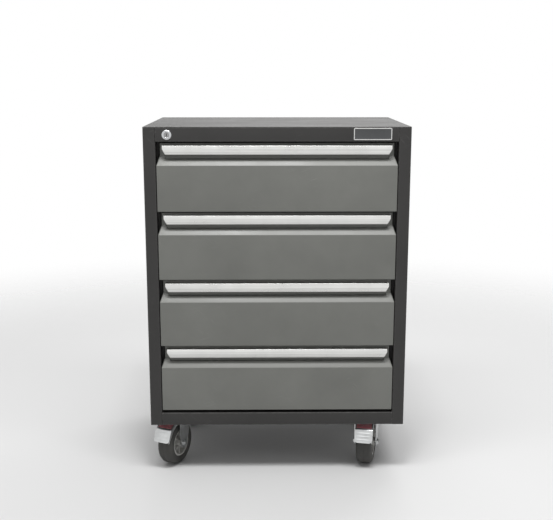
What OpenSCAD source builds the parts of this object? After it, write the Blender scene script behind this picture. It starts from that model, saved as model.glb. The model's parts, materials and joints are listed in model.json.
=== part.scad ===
// Rolling tool chest: a sheet-steel case with four drawers on telescopic slides,
// one key lock that holds all the drawers, and four casters.
// +X is to the right, +Y to the back and +Z up. The origin is on the floor, under the middle of the chest.

/* [Case] */
// Width across the side panels
body_w = 696; // [600:1:900]
// Depth from the front frame to the back flanges
body_d = 496; // [440:1:640]
// Thickness of the case's sheet steel
sheet_t = 1.2; // [1:0.1:2]
// Width of each front post
post_w = 32; // [28:1:45]
// Depth of the fold behind each front post
post_fold = 30; // [20:1:40]
// Height of the top rail
top_rail_h = 38; // [36:1:60]
// Height of the bottom rail
bottom_rail_h = 35; // [30:1:60]
// Depth of the two rails' flanges
rail_fold = 26; // [18:1:28]
// Width of the side panels' back flanges
back_flange = 20; // [12:1:40]
// Radius of the case's outer bends
case_r = 3; // [2:0.5:5]

/* [Drawer fronts] */
// Height of the flat face of a drawer
face_h = 121; // [100:1:200]
// Height of the sloping band above the face
slope_h = 16; // [10:1:22]
// Depth of the sloping band
slope_d = 13; // [8:1:16]
// Height of the hand recess above the band
recess_h = 42; // [38:1:55]
// Depth of the hand recess
recess_d = 20; // [18:1:26]
// Width of each horn that closes the recess at its ends
horn_w = 15; // [8:1:25]
// How much narrower than the face the recess is, at each side
recess_inset = 8; // [4:1:10]
// Gap between two drawer fronts
drawer_gap = 4; // [3:0.5:10]
// Gap under the lowest drawer front
bottom_gap = 8; // [4:0.5:15]
// Gap at each side of a drawer front
side_gap = 1.5; // [1:0.1:3]

/* [Handles] */
// Height of the handle's front bar
bar_h = 23; // [18:1:28]
// Distance from the top of the recess to the bar
bar_drop = 6.5; // [4:0.5:9]
// Distance from the recess's end to the bar's end
bar_inset = 7.5; // [4:0.5:20]
// Wall of the handle's extrusion
bar_t = 2.2; // [1.6:0.1:3]
// Radius of the bar's front
bar_r = 30; // [20:1:60]

/* [Drawer boxes] */
// Thickness of the drawer boxes' steel
box_t = 1; // [0.8:0.1:1.5]
// Height of a drawer box
box_h = 142; // [100:1:142]
// Room behind the drawer boxes for the lock bar
back_room = 34.8; // [33:0.1:80]
// Height of a drawer box's floor above the bottom of its front
box_lift = 8; // [6:1:14]
// Width of the rim folded out along each side
box_rim = 5; // [3:0.5:8]
// Thickness of the drawer liners
liner_t = 2; // [1:0.5:4]

/* [Slides] */
// Width that a slide takes at each side of a drawer
slide_w = 13; // [12.5:0.1:15]
// Height of a slide
slide_h = 45.6; // [35:0.2:50]
// Thickness of a slide's steel
slide_t = 1.2; // [1:0.1:1.5]
// Running clearance between two members of a slide
slide_play = 0.5; // [0.3:0.05:0.6]
// Length of a drawer box that stays in the case when the drawer is pulled out
kept_in = 10; // [0:1:140]

/* [Lock] */
// Distance from the lock to the chest's left side
lock_inset = 62; // [55:1:75]
// Diameter of the lock's front ring
lock_ring_d = 25; // [22:0.5:30]
// Diameter of the lock's barrel
lock_barrel_d = 18; // [16:0.5:20]
// Diameter of the turning plug
lock_plug_d = 13; // [11:0.5:14]
// How far the lock bar lifts
lock_lift = 14; // [12:0.5:16]
// Width of the lock bar
lock_bar_w = 22; // [18:1:26]

/* [Badge] */
// Width of the plain badge plate
badge_w = 99; // [60:1:140]
// Height of the badge plate
badge_h = 31; // [20:1:34]
// Distance from the badge to the chest's right side
badge_inset = 51; // [45:1:80]

/* [Casters] */
// Diameter of the wheels
wheel_d = 125; // [100:1:140]
// Width of the tyres
tyre_w = 45; // [38:1:50]
// Diameter of the wheels' cores
core_d = 78; // [60:1:90]
// Height of the casters above the wheels
caster_over_wheel = 30; // [29:1:40]
// Distance from each caster's plate centre to the chest's side
caster_x_inset = 82; // [80:1:120]
// Distance from each caster's plate centre to the chest's front or back
caster_y_inset = 120; // [116:1:150]
// How far the front wheels trail behind their swivels
trail = 55; // [50:1:56]
// Angle to which the left front caster is turned
left_turn = 26; // [0:1:360]
// Angle to which the right front caster is turned
right_turn = 13; // [0:1:360]

/* [Hidden] */
$fn = 48;
N_DRAWERS = 4;

// Colours
frame_grey = [0.22, 0.22, 0.21];
drawer_grey = [0.43, 0.43, 0.41];
bright_metal = [0.80, 0.80, 0.78];
zinc = [0.72, 0.73, 0.74];
pad_red = [0.60, 0.16, 0.18];
slide_steel = [0.62, 0.64, 0.66];
rubber_black = [0.10, 0.10, 0.10];
core_grey = [0.66, 0.66, 0.64];

// Small parts
lock_ring_t = 2;
screw_head_h = 1.5;
screw_head_r = 4;
badge_t = 1.2;
bend_steps = 4;
running = 0.06;
bolt_r = 4;
bolt_hole_play = 0.3;
bolt_head_r = 7.5;
bolt_head_h = 5;

// Casters
wheel_r = wheel_d / 2;
core_r = core_d / 2;
shoulder_r = 13;
caster_h = wheel_d + caster_over_wheel;
plate_t = 3;
plate_l = 110;
plate_w = 90;
plate_holes_l = 84;
plate_holes_w = 64;
axle_r = 5;
nut_r = 9.2;
nut_h = 7;
leg_t = 3;
leg_in = tyre_w / 2 + 3;
leg_out = leg_in + leg_t;
leg_boss_r = 15;
hub_half_w = leg_in - 0.5;
race_t = 8;
swivel_gap = 0.5;
crown_r = 34;
crown_t = 4;
crown_back = -24;
crown_top = caster_h - plate_t - race_t - swivel_gap;
kingpin_r = 6;
kingpin_head_r = 11;
kingpin_head_h = 4;

// Brake pedals, in (x, z) of a front caster: angles are seen from the axle, and 0 points ahead
wheel_centre = [trail, wheel_r];
pedal_t = 2;
pedal_arm_out = leg_in - 0.6;
pedal_arm_in = pedal_arm_out - pedal_t;
pedal_boss_r = 8;
pedal_stud_r = 4;
pedal_u = trail + 8;
pedal_z = crown_top - 1 - pedal_boss_r;
pedal_pivot = [pedal_u, pedal_z];
pedal_gap = 10;
pedal_r = wheel_r + pedal_gap;
pedal_heel = wheel_centre + pedal_r * [cos(68), sin(68)];
pedal_knee = wheel_centre + (pedal_r + 3) * [cos(43), sin(43)];
pedal_tip = wheel_centre + pedal_r * [cos(15), sin(15)];
upper_out = left_of(unit(pedal_knee - pedal_heel));
lower_out = left_of(unit(pedal_tip - pedal_knee));
pad_t = 2.5;
pad_edge = 4;
tip_front = (pedal_tip + pedal_t * lower_out)[0];
function pedal_reach(turn) = tip_front * cos(turn) + pedal_arm_out * abs(sin(turn));

// Case
half_w = body_w / 2;
front_out = max(lock_ring_t, max(pedal_reach(left_turn), pedal_reach(right_turn)) - caster_y_inset);
front_y = -(front_out + body_d + screw_head_h) / 2 + front_out;
back_y = front_y + body_d;
wall_y = back_y - 2 * sheet_t;
opening_half_w = half_w - post_w;
pan_lip = 18;
frame_z = caster_h - pan_lip;
bottom_rail_top = frame_z + bottom_rail_h;
front_h = face_h + slope_h + recess_h;
drawer_pitch = front_h + drawer_gap;
top_rail_z = bottom_rail_top + bottom_gap + N_DRAWERS * drawer_pitch;
top_z = top_rail_z + top_rail_h;
lip_h = 15;
rail_lip = 10;
panel_play = 0.2;

// Drawers, in a frame of their own: y from the front frame to the back, z from the bottom of the face
face_half_w = opening_half_w - side_gap;
recess_half_w = face_half_w - recess_inset;
front_back = recess_d + sheet_t;
box_d = body_d - front_back - back_room;
drawer_travel = box_d - kept_in;
horn_top = face_h + recess_d * slope_h / slope_d;
top_flange_d = 13;
fold_r = 2.2;
box_top = box_lift + box_h;
box_half_w = opening_half_w - 20;
slide_z = box_lift + box_h / 2 - 7;
slide_end = 2;
slide_len = box_d - 2 * slide_end;
upright_x = box_half_w + slide_w;
upright_t = 1.5;
upright_w = 40;
upright_end = 13;

// Lock
lock_x = -half_w + lock_inset;
lock_z = top_z - 20.5;
barrel_len = 20;
plug_len = 27;
plug_sink = 0.4;
rod_r = 3;
// The crank starts this far below level and ends as far above it.
crank_angle = 45;
crank_t = 3;
crank_gap = 0.5;
crank_r = lock_lift / (2 * sin(crank_angle));
crank_pin = [lock_x - crank_r * cos(crank_angle), lock_z - crank_r * sin(crank_angle)];
crank_pin_r = 2;
crank_pin_play = 0.6;
lock_bar_t = 2;
lock_bar_x = crank_pin[0];
hook_x = lock_bar_x + 4;
box_back = front_y + front_back + box_d;
// The lock bar stands off the back panel, and its hooks reach forwards almost to the boxes.
lock_bar_off = 15.4;
lock_bar_y = wall_y - lock_bar_off;
hook_clear = 4;
tab_w = 10;
tab_t = 2;
// Left between a hook and its catch with the lock shut.
hook_gap = 1;
tab_lip = 12;
tab_front = lock_bar_y - box_back - hook_clear;
catch_z = box_lift + 102;
catch_d = 12;
catch_lip = 10;
tab_below_catch = lock_lift + tab_lip + hook_gap;
lock_bar_foot = drawer_z(N_DRAWERS) + 2 * box_lift;

// ---- Bent sheet ----

function unit(v) = v / norm(v);
function left_of(v) = [-v[1], v[0]];
function turned(v, a) = [v[0] * cos(a) - v[1] * sin(a), v[0] * sin(a) + v[1] * cos(a)];
function reversed(p) = [for (i = [len(p) - 1:-1:0]) p[i]];
function arc(c, r, a0, a1, n = 8) =
    [for (i = [0:n]) c + r * [cos(a0 + (a1 - a0) * i / n), sin(a0 + (a1 - a0) * i / n)]];

// The bend at b of a line that runs d to the left of the path a, b, c, whose own bend has radius r.
function bend(a, b, c, d, r) =
    let (u = unit(b - a), v = unit(c - b), angle = atan2(u[0] * v[1] - u[1] * v[0], u * v), s = sign(angle))
    let (centre = b - u * r * tan(abs(angle) / 2) + s * r * left_of(u))
    [for (i = [0:bend_steps]) centre + turned(left_of(u) * (d - s * r), angle * i / bend_steps)];

// A path moved d to its left, with the bends' radii in r, one for each inner point.
function sheet_side(p, d, r) = concat(
    [p[0] + d * left_of(unit(p[1] - p[0]))],
    [for (i = [1:1:len(p) - 2]) each bend(p[i - 1], p[i], p[i + 1], d, r[i - 1])],
    [p[len(p) - 1] + d * left_of(unit(p[len(p) - 1] - p[len(p) - 2]))]
);

// The outline of a bent sheet that lies to the right of its outer line p.
module bent_sheet(p, t, r) {
    polygon(concat(sheet_side(p, 0, r), reversed(sheet_side(p, -t, r))));
}

// A profile drawn in (y, z), drawn out along X.
module along_x(x0, x1) {
    translate([x0, 0, 0]) rotate([90, 0, 90]) linear_extrude(x1 - x0) children();
}

// A profile drawn in (x, z), drawn out along Y.
module along_y(y0, y1) {
    translate([0, y1, 0]) rotate([90, 0, 0]) linear_extrude(y1 - y0) children();
}

// A profile drawn in (x, y), drawn out along Z.
module along_z(z0, z1) {
    translate([0, 0, z0]) linear_extrude(z1 - z0) children();
}

module box(x, y, z) {
    translate([x[0], y[0], z[0]]) cube([x[1] - x[0], y[1] - y[0], z[1] - z[0]]);
}

module both_sides() {
    children();
    mirror([1, 0, 0]) children();
}

// A round bar along Y.
module rod_y(x, z, r, y0, y1) {
    translate([x, y1, z]) rotate([90, 0, 0]) cylinder(r = r, h = y1 - y0);
}

// ---- Case ----

module right_side() {
    color(frame_grey) along_z(frame_z, top_z - sheet_t)
        bent_sheet(
            [
                [half_w - back_flange, back_y], [half_w, back_y], [half_w, front_y],
                [opening_half_w, front_y], [opening_half_w, front_y + post_fold]
            ],
            sheet_t, [case_r, case_r, sheet_t + 0.3]
        );
}

module left_side() {
    mirror([1, 0, 0]) right_side();
}

module back_panel() {
    edge = half_w - case_r - 0.5;
    color(frame_grey)
        box([-edge, edge], [wall_y, back_y - sheet_t], [frame_z, top_z - sheet_t]);
}

module top_panel() {
    lip_x = half_w - sheet_t - panel_play;
    lip_y = wall_y;
    lip_z = [top_z - sheet_t - lip_h, top_z - sheet_t];
    color(frame_grey) union() {
        along_z(top_z - sheet_t, top_z) polygon(concat(
            arc([half_w - case_r, front_y + case_r], case_r, -90, 0, 6),
            arc([half_w - case_r, back_y - case_r], case_r, 0, 90, 6),
            arc([-half_w + case_r, back_y - case_r], case_r, 90, 180, 6),
            arc([-half_w + case_r, front_y + case_r], case_r, 180, 270, 6)
        ));
        both_sides() box([lip_x - sheet_t, lip_x], [front_y + post_fold + 1, lip_y], lip_z);
        box([-lip_x, lip_x], [lip_y - sheet_t, lip_y], lip_z);
    }
}

// A top or bottom rail's outer line starts at its lower flange and goes up the front.
module top_rail() {
    top = top_z - sheet_t;
    fold_y = front_y + rail_fold;
    r = sheet_t + 0.3;
    color(frame_grey) difference() {
        along_x(-opening_half_w, opening_half_w)
            bent_sheet(
                [
                    [fold_y, top_rail_z + rail_lip], [fold_y, top_rail_z], [front_y, top_rail_z],
                    [front_y, top], [fold_y, top], [fold_y, top - rail_lip]
                ],
                sheet_t, [r, r, r, r]
            );
        rod_y(lock_x, lock_z, lock_barrel_d / 2 + 0.2, front_y - 1, front_y + sheet_t + 1);
    }
}

module bottom_rail() {
    fold_y = front_y + post_fold + 1 + sheet_t;
    r = sheet_t + 0.3;
    color(frame_grey) along_x(-opening_half_w, opening_half_w)
        bent_sheet(
            [
                [front_y + 12, frame_z], [front_y, frame_z], [front_y, bottom_rail_top],
                [fold_y, bottom_rail_top], [fold_y, caster_h + sheet_t]
            ],
            sheet_t, [r, r, r]
        );
}

function caster_places() = [for (sy = [-1, 1], sx = [-1, 1]) [
    sx * (half_w - caster_x_inset), sy < 0 ? front_y + caster_y_inset : back_y - caster_y_inset, sx, sy
]];

// Puts its children at the four bolts of one caster's plate.
module at_plate_bolts() {
    for (x = [-1, 1] * plate_holes_w / 2, y = [-1, 1] * plate_holes_l / 2) translate([x, y, 0]) children();
}

module bottom_pan() {
    edge = half_w - sheet_t - panel_play;
    y0 = front_y + post_fold + 1;
    y1 = wall_y;
    color(frame_grey) difference() {
        union() {
            box([-edge, edge], [y0, y1], [caster_h, caster_h + sheet_t]);
            both_sides() box([edge - sheet_t, edge], [y0, y1], [frame_z, caster_h]);
            for (y = [y0, y1 - sheet_t]) box([-edge, edge], [y, y + sheet_t], [frame_z, caster_h]);
        }
        for (p = caster_places()) translate([p[0], p[1], caster_h - 1])
            at_plate_bolts() cylinder(r = bolt_r + bolt_hole_play, h = sheet_t + 2);
    }
}

// Vertical channels that carry the slides.
module slide_uprights() {
    top = top_z - sheet_t - lip_h - 1;
    r = upright_t + 0.5;
    wall = half_w - sheet_t;
    for (y0 = [front_y + post_fold + 5, box_back - upright_end - upright_w])
        color(frame_grey) both_sides() along_z(caster_h + sheet_t, top)
            bent_sheet(
                [[wall, y0 + upright_w], [upright_x, y0 + upright_w], [upright_x, y0], [wall, y0]],
                -upright_t, [r, r]
            );
}

module badge_plate() {
    x1 = half_w - badge_inset;
    z = top_rail_z + top_rail_h / 2 + 0.5;
    rim = 2.5;
    color(bright_metal) difference() {
        box([x1 - badge_w, x1], [front_y - badge_t, front_y], [z - badge_h / 2, z + badge_h / 2]);
        box(
            [x1 - badge_w + rim, x1 - rim], [front_y - badge_t - 1, front_y - badge_t / 2],
            [z - badge_h / 2 + rim, z + badge_h / 2 - rim]
        );
    }
}

// Pan-head screws that hold the back panel to the side panels' back flanges.
module panel_screws() {
    n = 7;
    end = 30;
    pitch = (top_z - frame_z - 2 * end) / (n - 1);
    color(zinc) both_sides() for (i = [0:n - 1])
        translate([half_w - back_flange / 2, 0, frame_z + end + i * pitch])
            rod_y(0, 0, screw_head_r, back_y, back_y + screw_head_h);
}

// ---- Lock ----

module lock_housing() {
    nut_d = lock_barrel_d + 8;
    nut_t = 4;
    color(bright_metal) difference() {
        union() {
            rod_y(lock_x, lock_z, lock_ring_d / 2, front_y - lock_ring_t, front_y);
            rod_y(lock_x, lock_z, lock_barrel_d / 2, front_y - 1, front_y + barrel_len);
            translate([lock_x, front_y + sheet_t + nut_t, lock_z]) rotate([90, 0, 0])
                cylinder(d = nut_d, h = nut_t, $fn = 6);
        }
        rod_y(
            lock_x, lock_z, lock_plug_d / 2 + running,
            front_y - lock_ring_t - 1, front_y + barrel_len + 1
        );
    }
}

module lock_plug() {
    face = front_y - lock_ring_t + plug_sink;
    key = [1.6, 8, 8];
    color(bright_metal) difference() {
        rod_y(lock_x, lock_z, lock_plug_d / 2, face, face + plug_len);
        box(
            [lock_x - key[0] / 2, lock_x + key[0] / 2], [face - 1, face + key[1]],
            [lock_z - key[2] / 2, lock_z + key[2] / 2]
        );
    }
}

// The rod carries the key's turn to the back of the chest, where its crank's pin runs in the
// lock bar's slot: a quarter turn lifts the bar.
module lock_rod() {
    hub_r = 6;
    arm_w = 8;
    y0 = lock_bar_y - crank_gap - crank_t;
    color(zinc) union() {
        rod_y(lock_x, lock_z, rod_r, front_y - lock_ring_t + plug_sink + plug_len, y0 + 1);
        rod_y(lock_x, lock_z, hub_r, y0, y0 + crank_t);
        rod_y(crank_pin[0], crank_pin[1], arm_w / 2, y0, y0 + crank_t);
        translate([(lock_x + crank_pin[0]) / 2, y0 + crank_t / 2, (lock_z + crank_pin[1]) / 2])
            rotate([0, -crank_angle, 0]) cube([crank_r, crank_t, arm_w], center = true);
        rod_y(crank_pin[0], crank_pin[1], crank_pin_r, y0, lock_bar_y + 2 * lock_bar_t);
    }
}

function drawer_z(n) = bottom_rail_top + bottom_gap + (N_DRAWERS - n) * drawer_pitch;

module lock_bar() {
    top = lock_z + 2;
    sweep = crank_r * (1 - cos(crank_angle));
    slot = crank_pin_r + crank_pin_play;
    tab_x = [hook_x - tab_w / 2, hook_x + tab_w / 2];
    color(zinc) difference() {
        union() {
            box(
                [lock_bar_x - lock_bar_w / 2, lock_bar_x + lock_bar_w / 2],
                [lock_bar_y, lock_bar_y + lock_bar_t], [lock_bar_foot, top]
            );
            for (n = [1:N_DRAWERS]) {
                z = drawer_z(n) + catch_z - tab_below_catch;
                box(tab_x, [lock_bar_y - tab_front, lock_bar_y + lock_bar_t], [z, z + tab_t]);
                box(tab_x, [lock_bar_y - tab_front, lock_bar_y - tab_front + tab_t], [z, z + tab_lip]);
            }
        }
        box(
            [lock_bar_x - sweep - slot, lock_bar_x + slot], [lock_bar_y - 1, lock_bar_y + lock_bar_t + 1],
            [crank_pin[1] - slot, crank_pin[1] + slot]
        );
    }
}

// Clips that hold the lock bar to the back panel, one near its foot and one above the catch of
// every other drawer, and the rod's bearing under the top panel.
module lock_guides() {
    play = 0.4;
    wall = 2;
    h = 12;
    wing = 6;
    over_foot = 6;
    over_catch = 33;
    half = lock_bar_w / 2 + play;
    bearing_y = box_back + 1;
    bearing_t = 3;
    bearing_w = 22;
    bearing_drop = 8;
    over_catches = [for (n = [1:2:N_DRAWERS]) drawer_z(n) + catch_z + tab_t + over_catch];
    color(zinc) {
        for (z = concat(lock_bar_foot + over_foot, over_catches)) difference() {
            box(
                [lock_bar_x - half - wing, lock_bar_x + half + wing],
                [lock_bar_y - play - wall, wall_y], [z, z + h]
            );
            box(
                [lock_bar_x - half, lock_bar_x + half], [lock_bar_y - play, lock_bar_y + lock_bar_t + play],
                [z - 1, z + h + 1]
            );
        }
        difference() {
            box(
                [lock_x - bearing_w / 2, lock_x + bearing_w / 2],
                [bearing_y, bearing_y + bearing_t], [lock_z - bearing_drop, top_z - sheet_t]
            );
            rod_y(lock_x, lock_z, rod_r + running, bearing_y - 1, bearing_y + bearing_t + 1);
        }
    }
}

// ---- Drawers ----

// Puts its children at drawer n, counted from the top.
module at_drawer(n) {
    translate([0, front_y, drawer_z(n)]) children();
}

// The outline of a drawer front, seen from the front: the recess is narrower than the face.
module front_outline() {
    w = face_half_w;
    polygon([
        [-w, 0], [w, 0], [w, face_h], [recess_half_w, horn_top], [recess_half_w, front_h],
        [-recess_half_w, front_h], [-recess_half_w, horn_top], [-w, face_h]
    ]);
}

module drawer_front(n) {
    w = face_half_w;
    depth = front_back + top_flange_d;
    color(drawer_grey) at_drawer(n) intersection() {
        along_y(-1, depth + 1) front_outline();
        along_z(-1, front_h + 1) polygon(concat(
            [[w, depth], [-w, depth]], arc([-w + fold_r, fold_r], fold_r, 180, 270, 5),
            arc([w - fold_r, fold_r], fold_r, 270, 360, 5)
        ));
        union() {
            along_x(-w, w) bent_sheet(
                [
                    [front_back, 0], [0, 0], [0, face_h], [slope_d, face_h + slope_h],
                    [recess_d, face_h + slope_h], [recess_d, front_h], [depth, front_h]
                ],
                sheet_t, [fold_r, fold_r, fold_r, 0.5, fold_r]
            );
            both_sides() {
                box([w - sheet_t, w], [sheet_t, front_back], [0, face_h + 1]);
                along_x(recess_half_w - horn_w, w) polygon([
                    [sheet_t, face_h], [front_back, face_h - sheet_t], [front_back, horn_top],
                    [recess_d, horn_top], [0.5, face_h + 0.5 * slope_h / slope_d]
                ]);
            }
        }
    }
}

// The handle: an extrusion whose curved bar hangs from a web, with room for the fingers behind it.
module drawer_handle(n) {
    top = front_h - bar_drop;
    bottom = top - bar_h;
    mid = (top + bottom) / 2;
    centre = [bar_r, mid];
    inner_r = bar_r - bar_t;
    half_angle = asin(bar_h / 2 / bar_r);
    inner_angle = asin((bar_h / 2 - bar_t) / inner_r);
    flange_h = 14;
    lip_d = 7;
    half_l = recess_half_w - bar_inset;
    foot_l = half_l - 8;
    cut_z = mid + 3;
    color(bright_metal) at_drawer(n) intersection() {
        along_x(-half_l, half_l) polygon(concat(
            arc(centre, bar_r, 180 + half_angle, 180 - half_angle, 12),
            [
                [recess_d, top], [recess_d, top - flange_h], [recess_d - bar_t, top - flange_h],
                [recess_d - bar_t, top - bar_t]
            ],
            arc(centre, inner_r, 180 - inner_angle, 180 + inner_angle, 12),
            [[lip_d, bottom + bar_t], [lip_d, bottom]]
        ));
        along_y(-1, recess_d + 1) polygon([
            [half_l, top + 1], [half_l, cut_z], [foot_l, bottom], [foot_l, bottom - 1],
            [-foot_l, bottom - 1], [-foot_l, bottom], [-half_l, cut_z], [-half_l, top + 1]
        ]);
    }
}

// The drawer's box, with its catch for the lock bar at the back.
module drawer_box(n) {
    w = box_half_w;
    y0 = front_back;
    y1 = front_back + box_d;
    rim_end = 6;
    color(frame_grey) at_drawer(n) union() {
        difference() {
            box([-w, w], [y0, y1], [box_lift, box_top]);
            box([-w + box_t, w - box_t], [y0 + box_t, y1 - box_t], [box_lift + box_t, box_top + 1]);
        }
        both_sides()
            box([w - box_t, w + box_rim], [y0 + rim_end, y1 - rim_end], [box_top - box_t, box_top]);
        box(
            [hook_x - tab_w / 2, hook_x + tab_w / 2], [y1 - box_t, y1 + catch_d],
            [catch_z, catch_z + tab_t]
        );
        box(
            [hook_x - tab_w / 2, hook_x + tab_w / 2], [y1 + catch_d - tab_t, y1 + catch_d],
            [catch_z - catch_lip, catch_z + tab_t]
        );
    }
}

module drawer_liner(n) {
    play = 1;
    w = box_half_w - box_t - play;
    color(rubber_black) at_drawer(n)
        box(
            [-w, w], [front_back + box_t + play, front_back + box_d - box_t - play],
            [box_lift + box_t, box_lift + box_t + liner_t]
        );
}

// The members of a slide are channels that nest in each other, from the case inwards:
// outer, middle (an H) and inner. Profiles are drawn in (x, z) about the middle of the slide.
slide_out_h = slide_h / 2;
slide_mid_h = slide_out_h - slide_t - slide_play;
slide_in_h = slide_mid_h - slide_t - slide_play;
slide_mid_x = box_half_w + slide_w / 2 + 0.4;
slide_set_back = 2;
outer_tip_x = box_half_w + 3.5;
middle_tips_x = [box_half_w + 3.7, upright_x - slide_t - 0.7];
inner_tip_x = slide_mid_x - slide_t / 2 - 0.6;

module channel(web_x, tip_x, half_h) {
    dx = sign(tip_x - web_x) * slide_t;
    polygon([
        [web_x, -half_h], [tip_x, -half_h], [tip_x, -half_h + slide_t], [web_x + dx, -half_h + slide_t],
        [web_x + dx, half_h - slide_t], [tip_x, half_h - slide_t], [tip_x, half_h], [web_x, half_h]
    ]);
}

// One slide member at both sides of drawer n, from y0 to y1 behind the drawer box's front.
module slide_member(n, y0, y1) {
    at_drawer(n) both_sides() translate([0, front_back, slide_z]) along_y(y0, y1) children();
}

module slide_outer_members() {
    for (n = [1:N_DRAWERS]) color(slide_steel)
        slide_member(n, slide_end, slide_end + slide_len)
            channel(upright_x, outer_tip_x, slide_out_h);
}

module slide_middle(n) {
    y0 = slide_end + slide_set_back;
    color(slide_steel) slide_member(n, y0, slide_end + slide_len - slide_set_back) union() {
        channel(slide_mid_x - slide_t / 2, middle_tips_x[1], slide_mid_h);
        channel(slide_mid_x + slide_t / 2, middle_tips_x[0], slide_mid_h);
    }
}

module slide_inner(n) {
    color(slide_steel) slide_member(n, slide_end, slide_end + slide_len)
        channel(box_half_w, inner_tip_x, slide_in_h);
}

// ---- Casters: drawn with the wheel along +X from the swivel, and the floor at z = 0 ----

module rod_across(x, z, r, half) {
    rod_y(x, z, r, -half, half);
}

module at_front_caster(side, turn) {
    translate([side * (half_w - caster_x_inset), front_y + caster_y_inset, 0])
        rotate([0, 0, -90 - turn]) children();
}

module at_rear_caster(side) {
    translate([side * (half_w - caster_x_inset), back_y - caster_y_inset, 0])
        rotate([0, 0, -90]) children();
}

module mounting_plate() {
    difference() {
        box([-plate_w / 2, plate_w / 2], [-plate_l / 2, plate_l / 2], [caster_h - plate_t, caster_h]);
        translate([0, 0, caster_h - plate_t - 1])
            at_plate_bolts() cylinder(r = bolt_r + bolt_hole_play, h = plate_t + 2);
    }
}

// The front plates carry the upper bearing race and the kingpin that the fork turns on.
module front_caster_plates() {
    crown_z = crown_top - crown_t;
    head_z = crown_z - swivel_gap - kingpin_head_h;
    race_narrow = 6;
    color(zinc) for (side = [-1, 1])
        translate([side * (half_w - caster_x_inset), front_y + caster_y_inset, 0]) union() {
            mounting_plate();
            translate([0, 0, caster_h - plate_t - race_t])
                cylinder(r1 = crown_r - race_narrow, r2 = crown_r + 1, h = race_t + 0.5);
            translate([0, 0, head_z + 1]) cylinder(r = kingpin_r, h = caster_h - plate_t - head_z);
            translate([0, 0, head_z]) cylinder(r = kingpin_head_r, h = kingpin_head_h);
        }
}

// One leg of a fork, seen from the side: wide at the crown, round at the axle.
module swivel_leg() {
    top = pedal_z + pedal_boss_r;
    polygon(concat(
        [[crown_back, top], [crown_back, top - 8], [trail - 38, wheel_r + 66], [trail - 27, wheel_r + 34]],
        arc(wheel_centre, leg_boss_r, 210, 335, 10),
        [[trail + 21, wheel_r + 34]],
        arc(pedal_pivot, pedal_boss_r, 0, 90, 5)
    ));
}

// The fork's crown, its two legs and the studs that the brake pedal hangs on.
module front_fork(side, turn) {
    crown_z = crown_top - crown_t;
    pedal_room = 5;
    crown_front = pedal_u - pedal_boss_r - pedal_room;
    color(zinc) at_front_caster(side, turn) difference() {
        union() {
            translate([0, 0, crown_z]) cylinder(r = crown_r, h = crown_t);
            box([crown_back, crown_front], [-leg_out, leg_out], [crown_z, crown_top]);
            for (y = [-leg_out, leg_in]) along_y(y, y + leg_t) swivel_leg();
            for (y = [-leg_out, pedal_arm_in])
                rod_y(pedal_u, pedal_z, pedal_stud_r, y, y + leg_out - pedal_arm_in);
        }
        translate([0, 0, crown_z - 1]) cylinder(r = kingpin_r + running, h = crown_t + 2);
        rod_across(trail, wheel_r, axle_r + running, leg_out + 1);
    }
}

// The bent foot pedal that presses the brake on the tyre.
module brake_pedal(side, turn) {
    color(zinc) at_front_caster(side, turn) difference() {
        union() {
            along_y(-pedal_arm_out, pedal_arm_out)
                bent_sheet([pedal_heel, pedal_knee, pedal_tip], -pedal_t, [4]);
            for (y = [-pedal_arm_out, pedal_arm_in]) along_y(y, y + pedal_t) polygon(concat(
                arc(pedal_pivot, pedal_boss_r, 100, 260, 8),
                [
                    wheel_centre + (wheel_r + 4) * [cos(60), sin(60)],
                    wheel_centre + (wheel_r + 4) * [cos(43), sin(43)],
                    pedal_tip + lower_out, pedal_knee + lower_out, pedal_heel + upper_out
                ]
            ));
        }
        rod_across(pedal_u, pedal_z, pedal_stud_r + running, leg_in);
    }
}

// The moulded pad on the pedal's upper slope.
module brake_pad(side, turn) {
    along = unit(pedal_knee - pedal_heel);
    up = upper_out;
    from = pedal_heel + pad_edge * along + pedal_t * up;
    to = pedal_knee - pad_edge * along + pedal_t * up;
    half = pedal_arm_out - pad_edge;
    color(pad_red) at_front_caster(side, turn) along_y(-half, half)
        polygon([from, to, to + pad_t * up - along, from + pad_t * up + along]);
}

// An axle bolt with its head at one end and its nut at the other.
module axle(x) {
    end = leg_out + 0.2;
    thread_end = 2;
    color(zinc) union() {
        rod_across(x, wheel_r, axle_r, end + nut_h + thread_end);
        translate([x, -end, wheel_r]) rotate([90, 0, 0]) cylinder(r = nut_r, h = nut_h, $fn = 6);
        translate([x, end + nut_h, wheel_r]) rotate([90, 0, 0]) cylinder(r = nut_r, h = nut_h, $fn = 6);
    }
}

module tyre(x) {
    outer = wheel_r - shoulder_r;
    inner = core_r + running;
    half = tyre_w / 2;
    bead_w = 4;
    bead_h = 2;
    color(rubber_black) translate([x, 0, wheel_r]) rotate([90, 0, 0]) rotate_extrude($fn = 96)
        polygon(concat(
            [[inner, -half + bead_w], [inner + bead_h, -half]],
            arc([outer, -half + shoulder_r], shoulder_r, -90, 0, 6),
            arc([outer, half - shoulder_r], shoulder_r, 0, 90, 6),
            [[inner + bead_h, half], [inner, half - bead_w]]
        ));
}

module wheel_core(x) {
    hub_r = 12;
    rim_t = 4.5;
    rim = tyre_w / 2 - 2;
    web = 3;
    color(core_grey) translate([x, 0, wheel_r]) rotate([90, 0, 0]) rotate_extrude($fn = 96)
        polygon([
            [axle_r + running, -hub_half_w], [hub_r, -hub_half_w], [hub_r, -web], [core_r - rim_t, -web],
            [core_r - rim_t, -rim], [core_r, -rim], [core_r, rim], [core_r - rim_t, rim],
            [core_r - rim_t, web], [hub_r, web], [hub_r, hub_half_w], [axle_r + running, hub_half_w]
        ]);
}

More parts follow.
